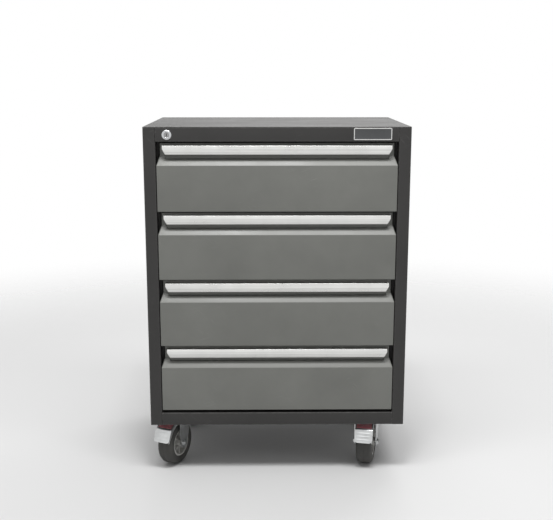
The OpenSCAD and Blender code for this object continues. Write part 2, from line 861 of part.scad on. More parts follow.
// Fixed forks: plate and legs in one pressing, with the wheel straight under the plate.
module rear_caster_forks() {
    half = 34;
    shank = 22;
    color(zinc) for (side = [-1, 1]) at_rear_caster(side) difference() {
        union() {
            rotate([0, 0, 90]) mounting_plate();
            for (y = [-leg_out, leg_in]) along_y(y, y + leg_t) polygon(concat(
                [[-half, caster_h - plate_t + 1], [-half, caster_h - 16], [-shank, wheel_r + 34]],
                arc([0, wheel_r], leg_boss_r, 205, 335, 10),
                [[shank, wheel_r + 34], [half, caster_h - 16], [half, caster_h - plate_t + 1]]
            ));
        }
        rod_across(0, wheel_r, axle_r + running, leg_out + 1);
    }
}

module rear_caster_axles() {
    for (side = [-1, 1]) at_rear_caster(side) axle(0);
}

module caster_bolt() {
    grip = plate_t + sheet_t;
    nut_t = 6.5;
    thread_end = 2.5;
    color(zinc) translate([0, 0, caster_h - plate_t]) union() {
        translate([0, 0, -bolt_head_h]) cylinder(r = bolt_head_r, h = bolt_head_h, $fn = 6);
        cylinder(r = bolt_r, h = grip + nut_t + thread_end);
        translate([0, 0, grip]) cylinder(r = bolt_head_r, h = nut_t, $fn = 6);
    }
}

module caster_bolts() {
    for (p = caster_places()) translate([p[0], p[1], 0]) at_plate_bolts() caster_bolt();
}

// ---- Nodes ----

left_side();  // left_side_panel
right_side();  // right_side_panel
back_panel();
top_panel();
bottom_pan();
top_rail();
bottom_rail();
slide_uprights();
slide_outer_members();
badge_plate();
lock_housing();
lock_plug();
lock_rod();
lock_bar();
lock_guides();
panel_screws();
caster_bolts();
front_caster_plates();
rear_caster_forks();
rear_caster_axles();
for (n = [1:N_DRAWERS]) {
    drawer_front(n);
    drawer_handle(n);
    drawer_box(n);
    drawer_liner(n);
    slide_inner(n);
    slide_middle(n);
}
for (c = [["left", -1, left_turn], ["right", 1, right_turn]]) {
    front_fork(c[1], c[2]);
    at_front_caster(c[1], c[2]) axle(trail);
    at_front_caster(c[1], c[2]) wheel_core(trail);
    at_front_caster(c[1], c[2]) tyre(trail);
    brake_pedal(c[1], c[2]);
    brake_pad(c[1], c[2]);
    at_rear_caster(c[1]) wheel_core(0);
    at_rear_caster(c[1]) tyre(0);
}
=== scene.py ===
# %% [markdown]
# # A rolling tool chest
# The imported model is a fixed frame: every piece below is dressed or redrawn around it, in metres, with
# +X to the right, +Y to the back, +Z up and the floor at zero. Sizes are read from the frame's own boxes,
# so a piece can't drift away from the part that it stands for.

# %% Load the frame
import json
import math
import bmesh
import bpy
import mathutils
import numpy as np
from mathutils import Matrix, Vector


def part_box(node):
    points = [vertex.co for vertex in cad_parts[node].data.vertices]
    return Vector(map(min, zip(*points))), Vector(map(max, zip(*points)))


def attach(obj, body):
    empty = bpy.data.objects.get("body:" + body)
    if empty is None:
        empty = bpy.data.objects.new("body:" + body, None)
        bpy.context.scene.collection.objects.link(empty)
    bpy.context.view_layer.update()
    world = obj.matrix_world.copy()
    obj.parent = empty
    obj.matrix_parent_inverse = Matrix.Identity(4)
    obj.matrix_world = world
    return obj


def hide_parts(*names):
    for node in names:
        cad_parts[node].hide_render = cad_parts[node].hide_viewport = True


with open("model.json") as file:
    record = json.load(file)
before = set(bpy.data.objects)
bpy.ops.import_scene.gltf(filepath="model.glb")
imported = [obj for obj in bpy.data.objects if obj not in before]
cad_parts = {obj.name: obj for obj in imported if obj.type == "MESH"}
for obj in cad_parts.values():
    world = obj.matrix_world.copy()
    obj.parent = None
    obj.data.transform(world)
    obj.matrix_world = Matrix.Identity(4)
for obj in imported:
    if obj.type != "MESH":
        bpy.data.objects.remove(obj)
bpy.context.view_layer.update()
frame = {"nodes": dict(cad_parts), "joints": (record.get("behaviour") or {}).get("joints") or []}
joints = {j["name"]: j for j in frame["joints"]}
mm = 0.001


def box(name):
    """The lowest and the highest corner of a node."""
    return [np.array(corner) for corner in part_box(name)]


# %% [markdown]
# ## How a surface is made
# Most of the chest is bent sheet, turned metal and moulded plastic. Each of them is a grid of points: a flat
# outline carried along a line, or a profile turned about an axis. One helper joins such a grid into faces,
# another makes the object, and the modifiers Solidify and Bevel give a sheet its thickness and its soft edges.

# %% Grids of points into skins
def skin(rings, around=True, along=False, caps=False):
    """Joins a grid of points into four-sided faces: point j of ring i meets its neighbours j + 1 and i + 1.
    around closes each ring, along joins the last ring to the first, caps closes both ends."""
    rings = np.asarray(rings, float)
    m, n = rings.shape[:2]
    i, j = np.meshgrid(np.arange(m if along else m - 1), np.arange(n if around else n - 1), indexing="ij")
    i2, j2 = (i + 1) % m, (j + 1) % n
    faces = np.stack([i * n + j, i * n + j2, i2 * n + j2, i2 * n + j], -1).reshape(-1, 4).tolist()
    if caps:
        faces += [list(range(n))[::-1], list(range((m - 1) * n, m * n))]
    return rings.reshape(-1, 3), faces


def together(*skins):
    """Several skins as one: the faces of each are counted on from the points before it."""
    points, faces, start = [], [], 0
    for p, f in skins:
        points.append(p)
        faces += [[k + start for k in face] for face in f]
        start += len(p)
    return np.vstack(points), faces


def mirrored(skinned):
    """The same skin on the chest's other side: every x changes sign, and every face is run backwards."""
    points, faces = skinned
    return points * [-1, 1, 1], [face[::-1] for face in faces]


print("two closed rings of four points give", len(skin(np.zeros((2, 4, 3)), caps=True)[1]), "faces")

# %% Skins into objects
merge_distance, bevel_from = 2e-6, math.radians(35)


def put_in_scene(name, data):
    """An object that shows a mesh, a light or a camera."""
    obj = bpy.data.objects.new(name, data)
    bpy.context.scene.collection.objects.link(obj)
    return obj


def piece(name, skinned, body, finish, replaces="", bevel=0.0, solidify=0.0, sharp=35, segments=2):
    """Makes the object from its points and faces. A closed skin has its faces turned outwards; an open one
    keeps its order, and Solidify gives it a thickness behind its front. finish is a slot name, which is not
    used, and then the materials."""
    points, faces = skinned
    slot, *materials = finish
    mesh = bpy.data.meshes.new(name)
    mesh.from_pydata(points.tolist(), [], faces)
    bm = bmesh.new()
    bm.from_mesh(mesh)
    bmesh.ops.remove_doubles(bm, verts=bm.verts, dist=merge_distance)
    bmesh.ops.dissolve_degenerate(bm, edges=bm.edges, dist=merge_distance / 2)
    if not solidify:
        bmesh.ops.recalc_face_normals(bm, faces=bm.faces)
    bm.to_mesh(mesh)
    bm.free()
    mesh.polygons.foreach_set("use_smooth", np.ones(len(mesh.polygons), bool))
    mesh.set_sharp_from_angle(angle=math.radians(sharp))
    for material in materials:
        mesh.materials.append(material)
    obj = put_in_scene(name, mesh)
    if solidify:
        wall = obj.modifiers.new("Wall", "SOLIDIFY")
        wall.thickness, wall.offset, wall.use_even_offset = solidify, -1.0, True
    if bevel:
        soft = obj.modifiers.new("Soft edges", "BEVEL")
        soft.width, soft.segments, soft.limit_method = bevel, segments, "ANGLE"
        soft.angle_limit, soft.harden_normals = bevel_from, True
    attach(obj, body)
    if replaces:
        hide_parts(replaces)
    return obj


def second_material(obj, chosen):
    """Gives the second material to the faces whose centres pass the test, and counts them."""
    x, y, z = np.array([face.center[:] for face in obj.data.polygons]).T
    second = chosen(x, y, z)
    obj.data.polygons.foreach_set("material_index", second.astype(np.int32))
    return int(second.sum())


print("points less than", merge_distance, "m apart become one")

# %% Outlines
def bent_line(corners, radius, aside=0.0, steps=6):
    """Straight runs whose corners are arcs of one radius. The line is moved aside to its left: each arc point
    is the arc's centre plus an arm that turns step by step from the first run's direction to the next's."""
    p = np.asarray(corners, float)
    run = np.diff(p, axis=0)
    run /= np.linalg.norm(run, axis=1)[:, None]
    left = np.stack([-run[:, 1], run[:, 0]], 1)
    line = [p[:1] + aside * left[:1]]
    for b, u, l, v in zip(p[1:-1], run[:-1], left[:-1], run[1:]):
        turn = math.atan2(u[0] * v[1] - u[1] * v[0], u @ v)
        side = np.sign(turn)
        centre = b - u * radius * math.tan(abs(turn) / 2) + side * radius * l
        a = turn * np.linspace(0, 1, steps + 1)
        arm = (aside - side * radius) * l
        line.append(centre + np.stack([arm[0] * np.cos(a) - arm[1] * np.sin(a),
                                       arm[0] * np.sin(a) + arm[1] * np.cos(a)], 1))
    return np.vstack(line + [p[-1:] + aside * left[-1:]])


def sheet_outline(corners, thickness, radius):
    """A bent sheet seen from its edge: the outer line, then the same line moved to its right and run back."""
    return np.vstack([bent_line(corners, radius), bent_line(corners, radius, -thickness)[::-1]])


def rounded_rectangle(width, height, radius, steps=5):
    """Four quarter circles joined by straight runs: each centre is a corner moved in by the radius."""
    a = (np.arange(4)[:, None] + np.linspace(0, 1, steps + 1)) * np.pi / 2
    corner = np.array([[1, 1], [-1, 1], [-1, -1], [1, -1]])[:, None, :]
    centre = corner * [width / 2 - radius, height / 2 - radius]
    return (centre + radius * np.stack([np.cos(a), np.sin(a)], -1)).reshape(-1, 2)


def soft_edge(bottom, top, radius, steps=3):
    """The (inset, height) profile of a plate's edge: a quarter round below and one above."""
    a = np.linspace(0, np.pi / 2, steps + 1)
    lower = np.stack([radius * (1 - np.sin(a)), bottom + radius * (1 - np.cos(a))], 1)
    upper = np.stack([radius * (1 - np.cos(a)), top - radius * (1 - np.sin(a))], 1)
    return np.vstack([lower, upper])


print("a sheet with one bend has", len(sheet_outline([(0, 0), (1, 0), (1, 1)], 0.1, 0.2)), "outline points")

# %% Grids that carry or turn an outline
def on_axes(first, second, third, axes):
    """Three arrays of coordinates as points. axes names the axis of each, so "yzx" puts the third on X."""
    named = dict(zip(axes, np.broadcast_arrays(first, second, third)))
    return np.stack([named[k] for k in "xyz"], -1)


def carried(outline, stations, axes):
    """The outline drawn again at each station: axes names the two directions it lies in, then the third."""
    u, v = np.asarray(outline, float).T
    return on_axes(u, v, np.asarray(stations, float)[:, None], axes)


def bar(outline, stations, axes):
    """A closed bar: the outline carried along, with an end at the first and the last station."""
    return skin(carried(outline, stations, axes), caps=True)


def slab(centre, size, radius, profile, axes="xyz"):
    """A rounded rectangle drawn again for each (inset, height) of an edge profile, smaller by the inset."""
    rings = []
    for inset, height in profile:
        flat = rounded_rectangle(size[0] - 2 * inset, size[1] - 2 * inset, max(radius - inset, 0.01 * mm))
        rings.append(on_axes(flat[:, 0] + centre[0], flat[:, 1] + centre[1], height, axes))
    return skin(rings, caps=True)


def circle_angles(segments):
    """Angles round a full circle, without the last, which is the first again."""
    return np.linspace(0, 2 * np.pi, segments, endpoint=False)


def about_axis(r, angle, along, centre, axis):
    """Points at a distance and an angle from a line through the centre, at a place along that line."""
    axes = {"x": "yzx", "y": "xzy", "z": "xyz"}[axis]
    u, v = (centre["xyz".index(k)] for k in axes[:2])
    return on_axes(u + r * np.cos(angle), v + r * np.sin(angle), along, axes)


def turned(profile, centre, axis="y", segments=64, closed=True):
    """A profile of (radius, place along the axis) turned a full circle about a line through a point."""
    r, along = np.asarray(profile, float).T
    rings = about_axis(r, circle_angles(segments)[:, None], along, centre, axis)
    return skin(rings, around=closed, along=True)


def ring_stack(sections, centre, axis="y", segments=48):
    """Rings one after another along an axis. Each section is (distance at every angle, place on the axis)."""
    return np.stack([about_axis(r, circle_angles(segments), along, centre, axis) for r, along in sections])


def stacked(*where, **more):
    """The same rings as one solid with flat ends."""
    return skin(ring_stack(*where, **more), caps=True)


def in_mm(table, side=1):
    """A table of (radius, place) in millimetres as sections in metres, on the +1 or the -1 side."""
    return [(r * mm, side * place * mm) for r, place in table]


three = [(1, 0), (2, 0), (2, 1)]
print("three points turned in 48 steps give", len(turned(three, (0, 0, 0), segments=48)[0]), "points")

# %% [markdown]
# ## Effects that several finishes share
# Paint, metal and plastic all show fine grain, rubbed edges and a little dust. Each effect is a node group
# with named values, so the same wear can be strong on the pedals and faint on the drawer fronts. Scuffs are
# noise stretched into thin lines in two directions, which only show in some areas. A group only puts out masks
# and heights; the shader itself stays in each material.

# %% Node helpers
def add(tree, kind, inputs=None, **settings):
    """Adds a node, sets its options, and fills each named input with a value or a link."""
    node = tree.nodes.new(kind if kind.startswith("Node") else "ShaderNode" + kind)
    for key, value in settings.items():
        setattr(node, key, value)
    for key, value in (inputs or {}).items():
        if isinstance(value, bpy.types.NodeSocket):
            tree.links.new(value, node.inputs[key])
        else:
            node.inputs[key].default_value = value
    return node


def maths(tree, operation, a, b=0.0, clamp=False):
    """One sum on two values or links."""
    return add(tree, "Math", {0: a, 1: b}, operation=operation, use_clamp=clamp).outputs[0]


def product(tree, first, *others):
    """All the masks and amounts multiplied."""
    for other in others:
        first = maths(tree, "MULTIPLY", first, other)
    return first


def above(tree, value, level, gain):
    """A mask of where the value is above the level: the difference times the gain, kept within 0 and 1."""
    return maths(tree, "MULTIPLY", maths(tree, "SUBTRACT", value, level), gain, clamp=True)


def stretched(tree, vector, factors):
    """The coordinates times a factor on each axis."""
    return add(tree, "VectorMath", {0: vector, 1: factors}, operation="MULTIPLY").outputs[0]


def noise(tree, vector, scale, detail, roughness=0.5):
    """Noise with so many waves to a metre, and finer noise in it."""
    inputs = {"Vector": vector, "Scale": scale, "Detail": detail, "Roughness": roughness}
    return add(tree, "TexNoise", inputs).outputs[0]


def new_group(name, outputs, **inputs):
    """A node group that takes coordinates and named values, and its input and output sockets."""
    group = bpy.data.node_groups.new(name, "ShaderNodeTree")
    group.interface.new_socket("Vector", in_out="INPUT", socket_type="NodeSocketVector")
    for label, value in inputs.items():
        kind = "Float" if isinstance(value, float) else "Vector"
        socket = group.interface.new_socket(label, in_out="INPUT", socket_type="NodeSocket" + kind)
        socket.default_value = value
    for label in outputs:
        group.interface.new_socket(label, in_out="OUTPUT", socket_type="NodeSocketFloat")
    return group, add(group, "NodeGroupInput").outputs, add(group, "NodeGroupOutput").inputs


print("node helpers are ready")

# %% Grain and brushing
grain, i, o = new_group("grain", ["Height", "Patch"], Size=0.0015, Patches=0.08)
for size, detail, roughness, output in (("Size", 3.0, 0.6, "Height"), ("Patches", 4.0, 0.55, "Patch")):
    scale = maths(grain, "DIVIDE", 1.0, i[size])
    grain.links.new(noise(grain, i["Vector"], scale, detail, roughness), o[output])

brushing, i, o = new_group("brushing", ["Height", "Streak"], Stretch=(4.0, 900.0, 900.0))
drawn = stretched(brushing, i["Vector"], i["Stretch"])
wide = stretched(brushing, drawn, (0.2, 0.08, 0.08))
brushing.links.new(noise(brushing, drawn, scale=1.0, detail=2.5, roughness=0.6), o["Height"])
brushing.links.new(noise(brushing, wide, scale=1.0, detail=3.0), o["Streak"])
print("grain and brushing")

# %% Rubbed edges, scuffs and dust
rubbed_edges, i, o = new_group("rubbed_edges", ["Mask"], Width=0.0012, Amount=0.5)
soft = add(rubbed_edges, "Bevel", {"Radius": i["Width"]}, samples=4).outputs[0]
flat = add(rubbed_edges, "NewGeometry").outputs["Normal"]
facing = add(rubbed_edges, "VectorMath", {0: soft, 1: flat}, operation="DOT_PRODUCT").outputs["Value"]
edge = above(rubbed_edges, 1.0, facing, gain=14.0)
broken = noise(rubbed_edges, i["Vector"], scale=160.0, detail=4.0, roughness=0.7)
held = above(rubbed_edges, broken, level=0.42, gain=5.0)
rubbed_edges.links.new(product(rubbed_edges, edge, held, i["Amount"]), o["Mask"])

scuffs, i, o = new_group("scuffs", ["Mask"], Amount=0.3)
marks = []
for turn in (0.3, -0.8):
    way = add(scuffs, "VectorRotate", {"Vector": i["Vector"], "Axis": (0, 1, 0), "Angle": turn},
              rotation_type="AXIS_ANGLE").outputs[0]
    thin = noise(scuffs, stretched(scuffs, way, (20.0, 20.0, 620.0)), scale=1.0, detail=1.0)
    marks.append(above(scuffs, thin, level=0.67, gain=12.0))
there = above(scuffs, noise(scuffs, i["Vector"], scale=8.0, detail=2.0), level=0.54, gain=8.0)
scuffs.links.new(product(scuffs, maths(scuffs, "MAXIMUM", *marks), there, i["Amount"]), o["Mask"])

dust, i, o = new_group("dust", ["Mask"], Amount=0.3)
up = add(dust, "SeparateXYZ", {0: add(dust, "NewGeometry").outputs["Normal"]}).outputs["Z"]
lying = above(dust, up, level=0.2, gain=1.25)
cloud = above(dust, noise(dust, i["Vector"], scale=22.0, detail=8.0, roughness=0.75), level=0.35, gain=2.2)
dust.links.new(product(dust, lying, cloud, i["Amount"]), o["Mask"])
print("groups:", [g.name for g in bpy.data.node_groups])


# %% A finish and its layers
def finish(name, colour, roughness, metallic=0.0, **plain):
    """A material with one Principled shader. Values that are the same everywhere are set on its own sockets."""
    material = bpy.data.materials.new(name)
    material.use_nodes = True
    tree = material.node_tree
    shader = tree.nodes["Principled BSDF"]
    plain.update(Base_Color=(*colour, 1), Roughness=roughness, Metallic=metallic)
    for key, value in plain.items():
        shader.inputs[key.replace("_", " ")].default_value = value
    material.diffuse_color = (*colour, 1)
    return material, tree, shader, add(tree, "TexCoord").outputs["Object"]


def use(tree, group, where, **values):
    """Places a shared group in a material with values of its own."""
    node = tree.nodes.new("ShaderNodeGroup")
    node.node_tree = group
    tree.links.new(where, node.inputs["Vector"])
    for key, value in values.items():
        node.inputs[key].default_value = value
    return node.outputs


def spread(tree, value, low, high, from_low=0.3, from_high=0.7):
    """A mask stretched to run from low to high."""
    return add(tree, "MapRange", {0: value, 1: from_low, 2: from_high, 3: low, 4: high}).outputs[0]


def blend(tree, mask, below, above):
    """One colour over another where the mask is white."""
    colours = {k: c if isinstance(c, bpy.types.NodeSocket) else (*c, 1) for k, c in ((6, below), (7, above))}
    return add(tree, "Mix", {0: mask, **colours}, data_type="RGBA").outputs[2]


def raised(tree, height, depth):
    """A height as a bump of that depth in metres."""
    return add(tree, "Bump", {"Height": height, "Strength": 1.0, "Distance": depth}).outputs[0]


def feed(tree, shader, **links):
    """Links what was worked out to the shader's sockets."""
    for key, value in links.items():
        tree.links.new(value, shader.inputs[key.replace("_", " ")])


print("finish helpers are ready")

# %% [markdown]
# ## Paint
# The case is charcoal powder coat, which cures to a fine, slightly matt grain. The drawer fronts are a lighter,
# smoother grey. Both could be one colour with a roughness, but real paint varies a little in tone and gloss,
# shows brighter metal where hands and boxes rub the edges, and gathers dust on top.

# %% Powder coat and drawer paint
dust_on_paint = (0.30, 0.29, 0.27)


def paint(name, colour, worn, roughness, grain_size, grain_depth, edge_width, edges, scuffed, dusty, **plain):
    """Paint: patches of tone, a fine grain, rubbed edges, light scuffs and dust. edges, scuffed and dusty are
    how much of each shows."""
    material, tree, shader, where = finish(name, colour, roughness, **plain)
    g = use(tree, grain, where, Size=grain_size, Patches=0.16)
    patch = spread(tree, g["Patch"], 0.0, 1.0)
    tone = blend(tree, patch, [c * 0.90 for c in colour], [c * 1.10 for c in colour])
    rubbed = use(tree, rubbed_edges, where, Amount=edges, Width=edge_width)["Mask"]
    tone = blend(tree, rubbed, tone, worn)
    tone = blend(tree, use(tree, scuffs, where, Amount=scuffed)["Mask"], tone, worn)
    lying = use(tree, dust, where, Amount=dusty)["Mask"]
    tone = blend(tree, lying, tone, dust_on_paint)
    gloss = spread(tree, g["Patch"], roughness - 0.06, roughness + 0.08)
    gloss = maths(tree, "ADD", gloss, maths(tree, "MULTIPLY", lying, 0.4))
    feed(tree, shader, Base_Color=tone, Roughness=gloss, Normal=raised(tree, g["Height"], grain_depth))
    return material


case_paint = paint("case_paint", (0.036, 0.035, 0.034), worn=(0.20, 0.195, 0.19), roughness=0.46,
                   grain_size=0.0011, grain_depth=0.00022, edge_width=0.003, edges=0.60, scuffed=0.24,
                   dusty=0.13, Specular_IOR_Level=0.3)
front_paint = paint("front_paint", (0.160, 0.163, 0.150), worn=(0.36, 0.36, 0.35), roughness=0.38,
                    grain_size=0.0016, grain_depth=0.00012, edge_width=0.002, edges=0.45, scuffed=0.22,
                    dusty=0.08)
box_paint = paint("box_paint", (0.050, 0.050, 0.048), worn=(0.17, 0.17, 0.16), roughness=0.42,
                  grain_size=0.0014, grain_depth=0.00010, edge_width=0.0012, edges=0.45, scuffed=0.35,
                  dusty=0.14)
print("three paints")

# %% [markdown]
# ## Bare metal
# The handle bars are drawn and brushed aluminium, with scratches that run along the bar. The casters are zinc
# plated, which is cloudy and a little uneven. The slides are bright galvanised steel with faint drawing lines.
# The lock's ring is polished chrome and its plug a darker steel, turned on its face. The brushing group gives
# each its lines, stretched along the right axis.

# %% Aluminium, zinc, steel and chrome
dust_on_metal, bright_edge = (0.30, 0.29, 0.28), (0.92, 0.92, 0.91)


def metal(name, colour, roughness, stretch, line_depth, lines, cloud, edges=0.0, dusty=0.05):
    """Metal: drawn lines in tone, gloss and relief, cloudy patches, and a trace of dust. stretch is how fine
    the lines are on each axis; lines, cloud, edges and dusty are how much of each shows."""
    material, tree, shader, where = finish(name, colour, roughness, 1.0)
    b = use(tree, brushing, where, Stretch=stretch)
    g = use(tree, grain, where, Size=0.004, Patches=0.045)
    dark, light = [c * (1 - cloud) for c in colour], [min(c * (1 + cloud / 2), 0.97) for c in colour]
    tone = blend(tree, spread(tree, g["Patch"], 0.0, 1.0), dark, light)
    tone = blend(tree, spread(tree, b["Height"], 0.0, lines, 0.45, 0.70), tone, [c * 0.35 for c in colour])
    tone = blend(tree, use(tree, dust, where, Amount=dusty)["Mask"], tone, dust_on_metal)
    if edges:
        rubbed = use(tree, rubbed_edges, where, Amount=edges, Width=0.0008)["Mask"]
        tone = blend(tree, rubbed, tone, bright_edge)
    gloss = spread(tree, g["Patch"], roughness - 0.03, roughness + 0.05)
    gloss = maths(tree, "ADD", spread(tree, b["Streak"], -0.05, 0.06), gloss)
    feed(tree, shader, Base_Color=tone, Roughness=gloss, Normal=raised(tree, b["Height"], line_depth))
    return material


bar_aluminium = metal("bar_aluminium", (0.73, 0.73, 0.71), 0.30, stretch=(1.6, 850.0, 850.0),
                      line_depth=0.000002, lines=0.35, cloud=0.05)
caster_zinc = metal("caster_zinc", (0.58, 0.59, 0.59), 0.33, stretch=(60.0, 60.0, 60.0),
                    line_depth=0.00010, lines=0.12, cloud=0.18, edges=0.4, dusty=0.12)
slide_steel = metal("slide_steel", (0.54, 0.56, 0.58), 0.28, stretch=(700.0, 5.0, 700.0),
                    line_depth=0.00001, lines=0.25, cloud=0.12)
lock_chrome = metal("lock_chrome", (0.56, 0.57, 0.58), 0.14, stretch=(40.0, 40.0, 40.0),
                    line_depth=0.00001, lines=0.05, cloud=0.04, dusty=0.02)
plug_steel = metal("plug_steel", (0.34, 0.34, 0.34), 0.30, stretch=(500.0, 500.0, 5.0),
                   line_depth=0.000004, lines=0.30, cloud=0.08, dusty=0.02)
badge_metal = metal("badge_metal", (0.66, 0.66, 0.65), 0.30, stretch=(5.0, 900.0, 900.0),
                    line_depth=0.000005, lines=0.20, cloud=0.04)
print("six metals")

# %% [markdown]
# ## Rubber and plastic
# The tyres are dark rubber, dusty, with paler patches of dirt. The wheel cores are moulded light-grey
# plastic, the brake pads a worn red one, and the drawer liners a soft black sheet. All are matt: what shows
# them is a fine skin and patches of dirt, not gloss.

# %% Rubber and moulded finishes
dust_on_rubber = (0.26, 0.25, 0.23)


def moulded(name, colour, dirt_and_shade, roughness, grain_size, grain_depth, dusty, edges=0.0, worn=None):
    """Plastic or rubber: a fine skin, patches of dirt, dust on top and, if it is worn, rubbed edges. On the
    keyway's near-black painted shade, the patch tone is a second painted shade, not dirt.
    """
    material, tree, shader, where = finish(name, colour, roughness)
    g = use(tree, grain, where, Size=grain_size, Patches=0.03)
    tone = blend(tree, spread(tree, g["Patch"], 0.0, 1.0, 0.35, 0.75), colour, dirt_and_shade)
    if edges:
        tone = blend(tree, use(tree, rubbed_edges, where, Amount=edges)["Mask"], tone, worn)
    tone = blend(tree, use(tree, dust, where, Amount=dusty)["Mask"], tone, dust_on_rubber)
    gloss = spread(tree, g["Patch"], roughness - 0.06, roughness + 0.10)
    feed(tree, shader, Base_Color=tone, Roughness=gloss, Normal=raised(tree, g["Height"], grain_depth))
    return material


tyre_rubber = moulded("tyre_rubber", (0.030, 0.030, 0.028), dirt_and_shade=(0.055, 0.053, 0.048), roughness=0.62,
                      grain_size=0.0010, grain_depth=0.00015, dusty=0.25)
core_plastic = moulded("core_plastic", (0.50, 0.50, 0.48), dirt_and_shade=(0.40, 0.39, 0.37), roughness=0.42,
                       grain_size=0.0012, grain_depth=0.00006, dusty=0.15)
pad_red = moulded("pad_red", (0.66, 0.19, 0.225), dirt_and_shade=(0.52, 0.15, 0.18), roughness=0.45,
                  grain_size=0.0012, grain_depth=0.00010, dusty=0.15, edges=0.8, worn=(0.76, 0.52, 0.52))
liner_rubber = moulded("liner_rubber", (0.022, 0.022, 0.022), dirt_and_shade=(0.030, 0.030, 0.029), roughness=0.70,
                       grain_size=0.0009, grain_depth=0.00012, dusty=0.10)
badge_field = moulded("badge_field", (0.060, 0.062, 0.064), dirt_and_shade=(0.052, 0.054, 0.056), roughness=0.32,
                      grain_size=0.0015, grain_depth=0.00003, dusty=0.05)
# Painted shade: a near-black for the keyway's deep faces, which stands in for the shade inside the narrow hole.
painted_keyway_shade = moulded("painted_keyway_shade", (0.010, 0.010, 0.010), dirt_and_shade=(0.014, 0.014, 0.014), roughness=0.60,
                     grain_size=0.0010, grain_depth=0.00005, dusty=0.0)
print(len(bpy.data.materials), "materials so far")

# %% [markdown]
# ## Materials on the frame's own nodes
# Nodes whose shape is already right keep it and only get a finish. Those that are redrawn below are hidden
# then.

# %% Dress the plain nodes
def dress(material, *names):
    """Gives a node's object the material in each of its slots."""
    for name in names:
        data = frame["nodes"][name].data
        data.materials.clear()
        data.materials.append(material)


drawers = [f"drawer_{n}" for n in range(1, 5)]
front_casters, rear_casters = ["front_left", "front_right"], ["rear_left", "rear_right"]
wheels = front_casters + rear_casters
dress(case_paint, "left_side_panel", "right_side_panel", "back_panel", "top_panel", "bottom_pan", "top_rail",
      "bottom_rail", "slide_uprights", *[d + "_box" for d in drawers])
dress(slide_steel, "slide_outer_members",
      *[d + end for d in drawers for end in ("_slide_inner", "_slide_middle")])
dress(front_paint, *[d + "_front" for d in drawers])
dress(bar_aluminium, *[d + "_handle" for d in drawers])
dress(liner_rubber, *[d + "_liner" for d in drawers])
dress(badge_metal, "badge_plate")
dress(lock_chrome, "lock_housing")
dress(plug_steel, "lock_plug")
dress(caster_zinc, "lock_rod", "lock_bar", "lock_guides", "panel_screws", "caster_bolts", "front_caster_plates",
      "rear_caster_forks", "rear_caster_axles",
      *[c + end for c in front_casters for end in ("_fork", "_axle", "_brake_pedal")])
dress(tyre_rubber, *[w + "_tyre" for w in wheels])
dress(core_plastic, *[w + "_wheel_core" for w in wheels])
dress(pad_red, *[c + "_brake_pad" for c in front_casters])
in_scene = {m.name for m in bpy.data.materials}
print(sum(obj.data.materials[0].name in in_scene for obj in frame["nodes"].values()), "nodes dressed")

# %% [markdown]
# ## Side panels
# Each side of the case is one sheet: a narrow flange at the back, the wide side, the front post, and a fold
# behind the post that stiffens it. The outline is a line with three round bends, given the sheet's thickness
# and carried straight up. A box with a bevel would look the same from outside, but not from behind or inside.

# %% The two sides
painted_case = "frame_paint", case_paint
sheet, case_bend, post_fold, back_flange = 1.2 * mm, 3 * mm, 30 * mm, 20 * mm
(_, y0, z0), (x1, y1, z1) = box("right_side_panel")
post_x = box("top_rail")[1][0]
corners = [(x1 - back_flange, y1), (x1, y1), (x1, y0), (post_x, y0), (post_x, y0 + post_fold)]
right_side = bar(sheet_outline(corners, sheet, case_bend), (z0, z1), "xyz")
for side, shape in (("right_side", right_side), ("left_side", mirrored(right_side))):
    piece(side, shape, "root", painted_case, side + "_panel", bevel=0.35 * mm)
print("side panels", round(y1 - y0, 4), "deep and", round(z1 - z0, 4), "high")

# %% [markdown]
# ## Top, rails and back
# The top is a shallow pan turned upside down: a plate with rounded corners and lips that go down inside the
# case. The rails close the front above and below the drawers. Both follow their boxes, and only the front
# edges, which catch the light, need more bends than the plain parts have. The back is a flat sheet between
# the flanges, so its node keeps its shape.

# %% Top panel
plate_edge, lip_edge, lip_r = 0.55 * mm, 0.3 * mm, 0.4 * mm
lo, hi = box("top_panel")
underside = hi[2] - sheet
lip_x, lip_back, lip_front = hi[0] - 1.4 * mm, hi[1] - 2.4 * mm, lo[1] + post_fold + 1 * mm
lip_places = [((side * (lip_x - sheet / 2), (lip_front + lip_back) / 2), (sheet, lip_back - lip_front))
              for side in (-1, 1)] + [((0, lip_back - sheet / 2), (2 * lip_x, sheet))]
lips = [slab(at, size, lip_r, soft_edge(lo[2], underside, lip_edge)) for at, size in lip_places]
plate = slab((lo + hi) / 2, (hi - lo)[:2], case_bend, soft_edge(underside, hi[2], plate_edge))
piece("top", together(plate, *lips), "root", painted_case, "top_panel")
print("top", np.round(hi - lo, 4))

# %% Rails above and below the drawers
rail_bend, turned_back, foot = 1.5 * mm, 10 * mm, 12 * mm


def rail(name, corners):
    """A bent sheet between the posts: its outline is drawn in (y, z) and carried from post to post."""
    outline = sheet_outline(corners, sheet, rail_bend)
    piece(name, bar(outline, (-post_x, post_x), "yzx"), "root", painted_case, name, bevel=0.3 * mm)


(_, y0, z0), (_, y1, z1) = box("top_rail")
rail("top_rail", [(y1, z0 + turned_back), (y1, z0), (y0, z0), (y0, z1), (y1, z1), (y1, z1 - turned_back)])
(_, front_y, z0), (_, y1, z1) = box("bottom_rail")
pan_top = box("bottom_pan")[1][2]
rail("bottom_rail", [(front_y + foot, z0), (front_y, z0), (front_y, z1), (y1, z1), (y1, pan_top)])
print("bottom rail at", round(z0, 4))

# %% [markdown]
# ## Screws in the back
# Pan-head screws hold the back panel. A head is a dome with a six-sided socket, so each ring of points goes
# from a circle, over the dome, to a hexagon and down into it.

